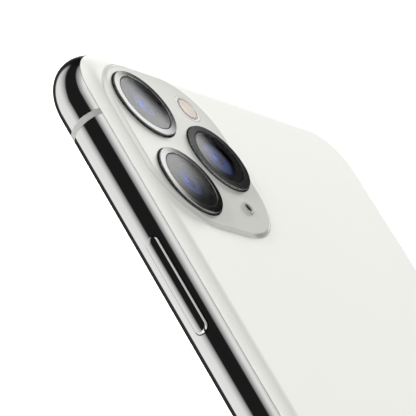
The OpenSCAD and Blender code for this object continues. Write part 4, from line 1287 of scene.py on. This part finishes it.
@dataclass
class Room:
    """The light round the phone by direction: white overhead, a dark band at the horizon, grey below.

    Turn is the angle from +X towards +Y, and height the angle above the horizon. The card is a bright sheet
    beyond the top right corner, the screen a dark patch above it, and the glow a soft light below it.
    """

    sky_edge: Change = Change(78.0, 146.0, 17.0, 26.5)
    sky_lift: Change = Change(45.0, 78.0, 2.0, 0.0)
    sky_fade: float = 22.0
    sky_stops: tuple[tuple[float, float], ...] = ((0.0, 0.008), (0.09, 0.2), (0.5, 0.52), (1.0, 1.0))
    card_side: Change = Change(31.4, 32.9, 0.004, 1.05)
    card_foot: Change = Change(19.8, 20.7, 0.0, 1.0)
    over_card: Change = Change(23.0, 32.0, 0.0, 1.0)
    card_to_sky: Change = Change(37.0, 50.0, 0.0, 1.0)
    ground_edge: Change = Change(84.0, 146.0, 1.5, -19.0)
    ground_fade: float = 60.0
    ground_stops: tuple[tuple[float, float], ...] = (
        (0.0, 0.012), (0.02, 0.07), (0.083, 0.3), (0.167, 0.47), (0.25, 0.6), (0.333, 0.7), (0.433, 0.8),
        (1.0, 0.86))
    ground_near: Change = Change(73.0, 84.0, 0.035, 1.0)
    ground_far: Change = Change(-20.0, 20.0, 1.0, 0.0)
    glow_side: Change = Change(38.0, 61.0, 0.6, 0.0)
    glow_foot: Change = Change(-42.0, -16.0, 0.0, 1.0)
    glow_top: Change = Change(-10.0, 4.0, 1.0, 0.0)
    screen_foot: Change = Change(26.0, 34.0, 0.0, 1.0)
    screen_top: Change = Change(46.0, 58.0, 1.0, 0.0)
    screen_far: Change = Change(62.0, 50.0, 0.0, 0.95)
    screen_near: Change = Change(20.0, 32.0, 0.0, 1.0)
    overhead: Change = Change(35.0, 70.0, 1.0, 0.4)

    @staticmethod
    def levels(tree: bpy.types.NodeTree, value: bpy.types.NodeSocket, stops: tuple[tuple[float, float], ...]
               ) -> bpy.types.NodeSocket:
        """Adds a grey ramp through given places and brightnesses.

        Args:
            tree: The node tree.
            value: What the ramp follows.
            stops: Place from 0 to 1 and brightness of each stop.

        Returns:
            The ramp's brightness.
        """
        node = add(tree, "ShaderNodeValToRGB", {"Fac": value})
        elements = node.color_ramp.elements
        while len(elements) < len(stops):
            elements.new(0.5)
        for element, (where, level) in zip(elements, stops):
            element.position = where
            element.color = (level, level, level, 1)
        return node.outputs["Color"]

    def paint(self) -> None:
        """Makes the world's light from the room's values."""
        world = bpy.data.worlds.new("studio_room")
        bpy.context.scene.world = world
        world.use_nodes = True
        tree = world.node_tree
        tree.nodes.clear()

        def maths(operation: str, a: bpy.types.NodeSocket | float, b: bpy.types.NodeSocket | float = 0.0
                  ) -> bpy.types.NodeSocket:
            """Adds a Math node and returns its result."""
            return add(tree, "ShaderNodeMath", {0: a, 1: b}, operation=operation).outputs[0]

        def step(value: bpy.types.NodeSocket, change: Change, shape: str = "SMOOTHSTEP"
                 ) -> bpy.types.NodeSocket:
            """Adds a change of a value, smooth or straight, and returns its result."""
            return add(tree, "ShaderNodeMapRange", {"Value": value, "From Min": change.low,
                                                    "From Max": change.high, "To Min": change.start,
                                                    "To Max": change.end},
                       interpolation_type=shape).outputs[0]

        way = add(tree, "ShaderNodeTexCoord").outputs["Generated"]
        part = add(tree, "ShaderNodeSeparateXYZ", {0: way})
        degree = 180 / math.pi
        height = maths("MULTIPLY", maths("ARCSINE", part.outputs["Z"]), degree)
        turn = maths("MULTIPLY", maths("ARCTAN2", part.outputs["Y"], part.outputs["X"]), degree)
        edge = maths("ADD", step(turn, self.sky_edge, "LINEAR"), step(turn, self.sky_lift, "LINEAR"))
        above = maths("DIVIDE", maths("SUBTRACT", height, edge), self.sky_fade)
        wide_sky = self.levels(tree, above, self.sky_stops)
        card = maths("MULTIPLY", step(turn, self.card_side), step(height, self.card_foot))
        card = maths("MAXIMUM", card, step(height, self.over_card))
        to_sky = step(turn, self.card_to_sky)
        sky = maths("ADD", maths("MULTIPLY", wide_sky, to_sky),
                    maths("MULTIPLY", card, maths("SUBTRACT", 1.0, to_sky)))
        depth = maths("DIVIDE", maths("SUBTRACT", step(turn, self.ground_edge, "LINEAR"), height),
                      self.ground_fade)
        ground = self.levels(tree, depth, self.ground_stops)
        sides = maths("MAXIMUM", step(turn, self.ground_near), step(turn, self.ground_far))
        glow = maths("MULTIPLY", step(turn, self.glow_side), step(height, self.glow_foot))
        glow = maths("MULTIPLY", glow, step(height, self.glow_top))
        below = maths("ADD", maths("MULTIPLY", ground, sides), glow)
        screen = maths("MULTIPLY", step(height, self.screen_foot), step(height, self.screen_top))
        screen = maths("MULTIPLY", screen, step(turn, self.screen_far))
        screen = maths("MULTIPLY", screen, step(turn, self.screen_near))
        whole = maths("MAXIMUM", maths("MULTIPLY", sky, maths("SUBTRACT", 1.0, screen)), below)
        seen = add(tree, "ShaderNodeLightPath").outputs["Is Camera Ray"]
        strength = maths("MAXIMUM", maths("MULTIPLY", whole, step(height, self.overhead)), seen)
        light = add(tree, "ShaderNodeBackground", {"Color": linear("#ffffff"), "Strength": strength})
        add(tree, "ShaderNodeOutputWorld", {"Surface": light.outputs[0]})


@dataclass
class Studio:
    """The room, two soft lamps, a pale floor well below the phone, and the camera."""

    floor_z: float = -0.15
    floor_size: float = 6.0
    floor_light: float = 0.35
    back_watts: float = 46.0
    back_way: tuple[float, float] = (36.0, 10.0)
    fill_watts: float = 10.0
    fill_way: tuple[float, float] = (138.0, 10.0)
    lamp_reach: float = 1.3
    lamp_size: float = 0.3
    lens_mm: float = 278.2
    sensor_mm: float = 36.0
    eye: tuple[float, float, float] = (-0.38087, -0.17825, 0.16961)
    right: tuple[float, float, float] = (0.5811, -0.4480, 0.6794)
    up: tuple[float, float, float] = (-0.1708, 0.7491, 0.6400)
    forward: tuple[float, float, float] = (0.7957, 0.4880, -0.3588)

    def camera(self) -> None:
        """Places the camera with its right, up and forward directions."""
        data = bpy.data.cameras.new("studio_camera")
        data.lens = self.lens_mm
        data.sensor_width = self.sensor_mm
        camera = bpy.data.objects.new("studio_camera", data)
        turn = Matrix([self.right, self.up, [-v for v in self.forward]]).transposed()
        camera.matrix_world = Matrix.LocRotScale(Vector(self.eye), turn.to_quaternion(), None)
        bpy.context.scene.collection.objects.link(camera)
        bpy.context.scene.camera = camera

    def floor(self) -> None:
        """Lays a plain pale floor that doesn't show in reflections."""
        mesh = bpy.data.meshes.new("studio_floor")
        s = self.floor_size / 2
        mesh.from_pydata([(-s, -s, self.floor_z), (s, -s, self.floor_z), (s, s, self.floor_z),
                          (-s, s, self.floor_z)], [], [(0, 1, 2, 3)])
        paint = bpy.data.materials.new("pale_studio_paper")
        paint.use_nodes = True
        tree = paint.node_tree
        tree.nodes.clear()
        shader = add(tree, "ShaderNodeBsdfDiffuse", {"Color": linear("#fbfbfa")})
        light = add(tree, "ShaderNodeEmission", {"Color": linear("#ffffff"), "Strength": self.floor_light})
        both = add(tree, "ShaderNodeAddShader", {0: shader.outputs[0], 1: light.outputs[0]})
        add(tree, "ShaderNodeOutputMaterial", {"Surface": both.outputs[0]})
        mesh.materials.append(paint)
        floor = bpy.data.objects.new("studio_floor", mesh)
        bpy.context.scene.collection.objects.link(floor)
        floor.visible_glossy = False

    def lamp(self, name: str, watts: float, way: tuple[float, float]) -> None:
        """Hangs a soft round lamp that lights matt surfaces and doesn't show in reflections.

        Args:
            name: The lamp's name.
            watts: Its power.
            way: The direction it stands in, as its turn from +X and its height, both in degrees.
        """
        data = bpy.data.lights.new(name, "AREA")
        data.shape = "DISK"
        data.size = self.lamp_size
        data.energy = watts
        turn, rise = (math.radians(v) for v in way)
        out = Vector((math.cos(turn) * math.cos(rise), math.sin(turn) * math.cos(rise), math.sin(rise)))
        lamp = bpy.data.objects.new(name, data)
        lamp.matrix_world = Matrix.LocRotScale(out * self.lamp_reach, out.to_track_quat("Z", "Y"), None)
        bpy.context.scene.collection.objects.link(lamp)
        lamp.visible_glossy = False
        lamp.visible_transmission = False
        lamp.visible_camera = False

    def build(self) -> None:
        """Builds the room, floor, lamps and camera."""
        Room().paint()
        self.floor()
        self.lamp("back_light", self.back_watts, self.back_way)
        self.lamp("fill_light", self.fill_watts, self.fill_way)
        self.camera()
        bpy.context.scene.view_settings.view_transform = "Standard"


def main() -> None:
    """Builds every sub-assembly in order."""
    logging.basicConfig(level=logging.INFO, format="%(name)s: %(message)s")
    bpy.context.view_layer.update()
    # The inner camera's ring gets a darker copy of the ring steel: painted shade.
    units = [LensUnit("upper", (-24.3, 60.375), 2.45, RING_STEEL),
             LensUnit("lower", (-24.3, 45.625), 2.6, RING_STEEL),
             LensUnit("inner", (-11.7, 53.0), 3.2, RING_STEEL_PAINTED_SHADE, bead_z=(8.62, 8.68, 8.74, 8.80, 8.86))]
    small = FlashAndMicrophone()
    Band().build()
    RearGlass().build([unit.well() for unit in units] + small.wells())
    for unit in units:
        unit.build()
    small.build()
    Button("side_button", 27.95, 16.8, -1).build()
    Button("volume_up_button", 31.0, 10.4, 1).build()
    Button("volume_down_button", 17.0, 10.4, 1).build()
    SmallParts().build()
    dress_cad(frame["nodes"])
    Studio().build()


if __name__ == "__main__":
    main()
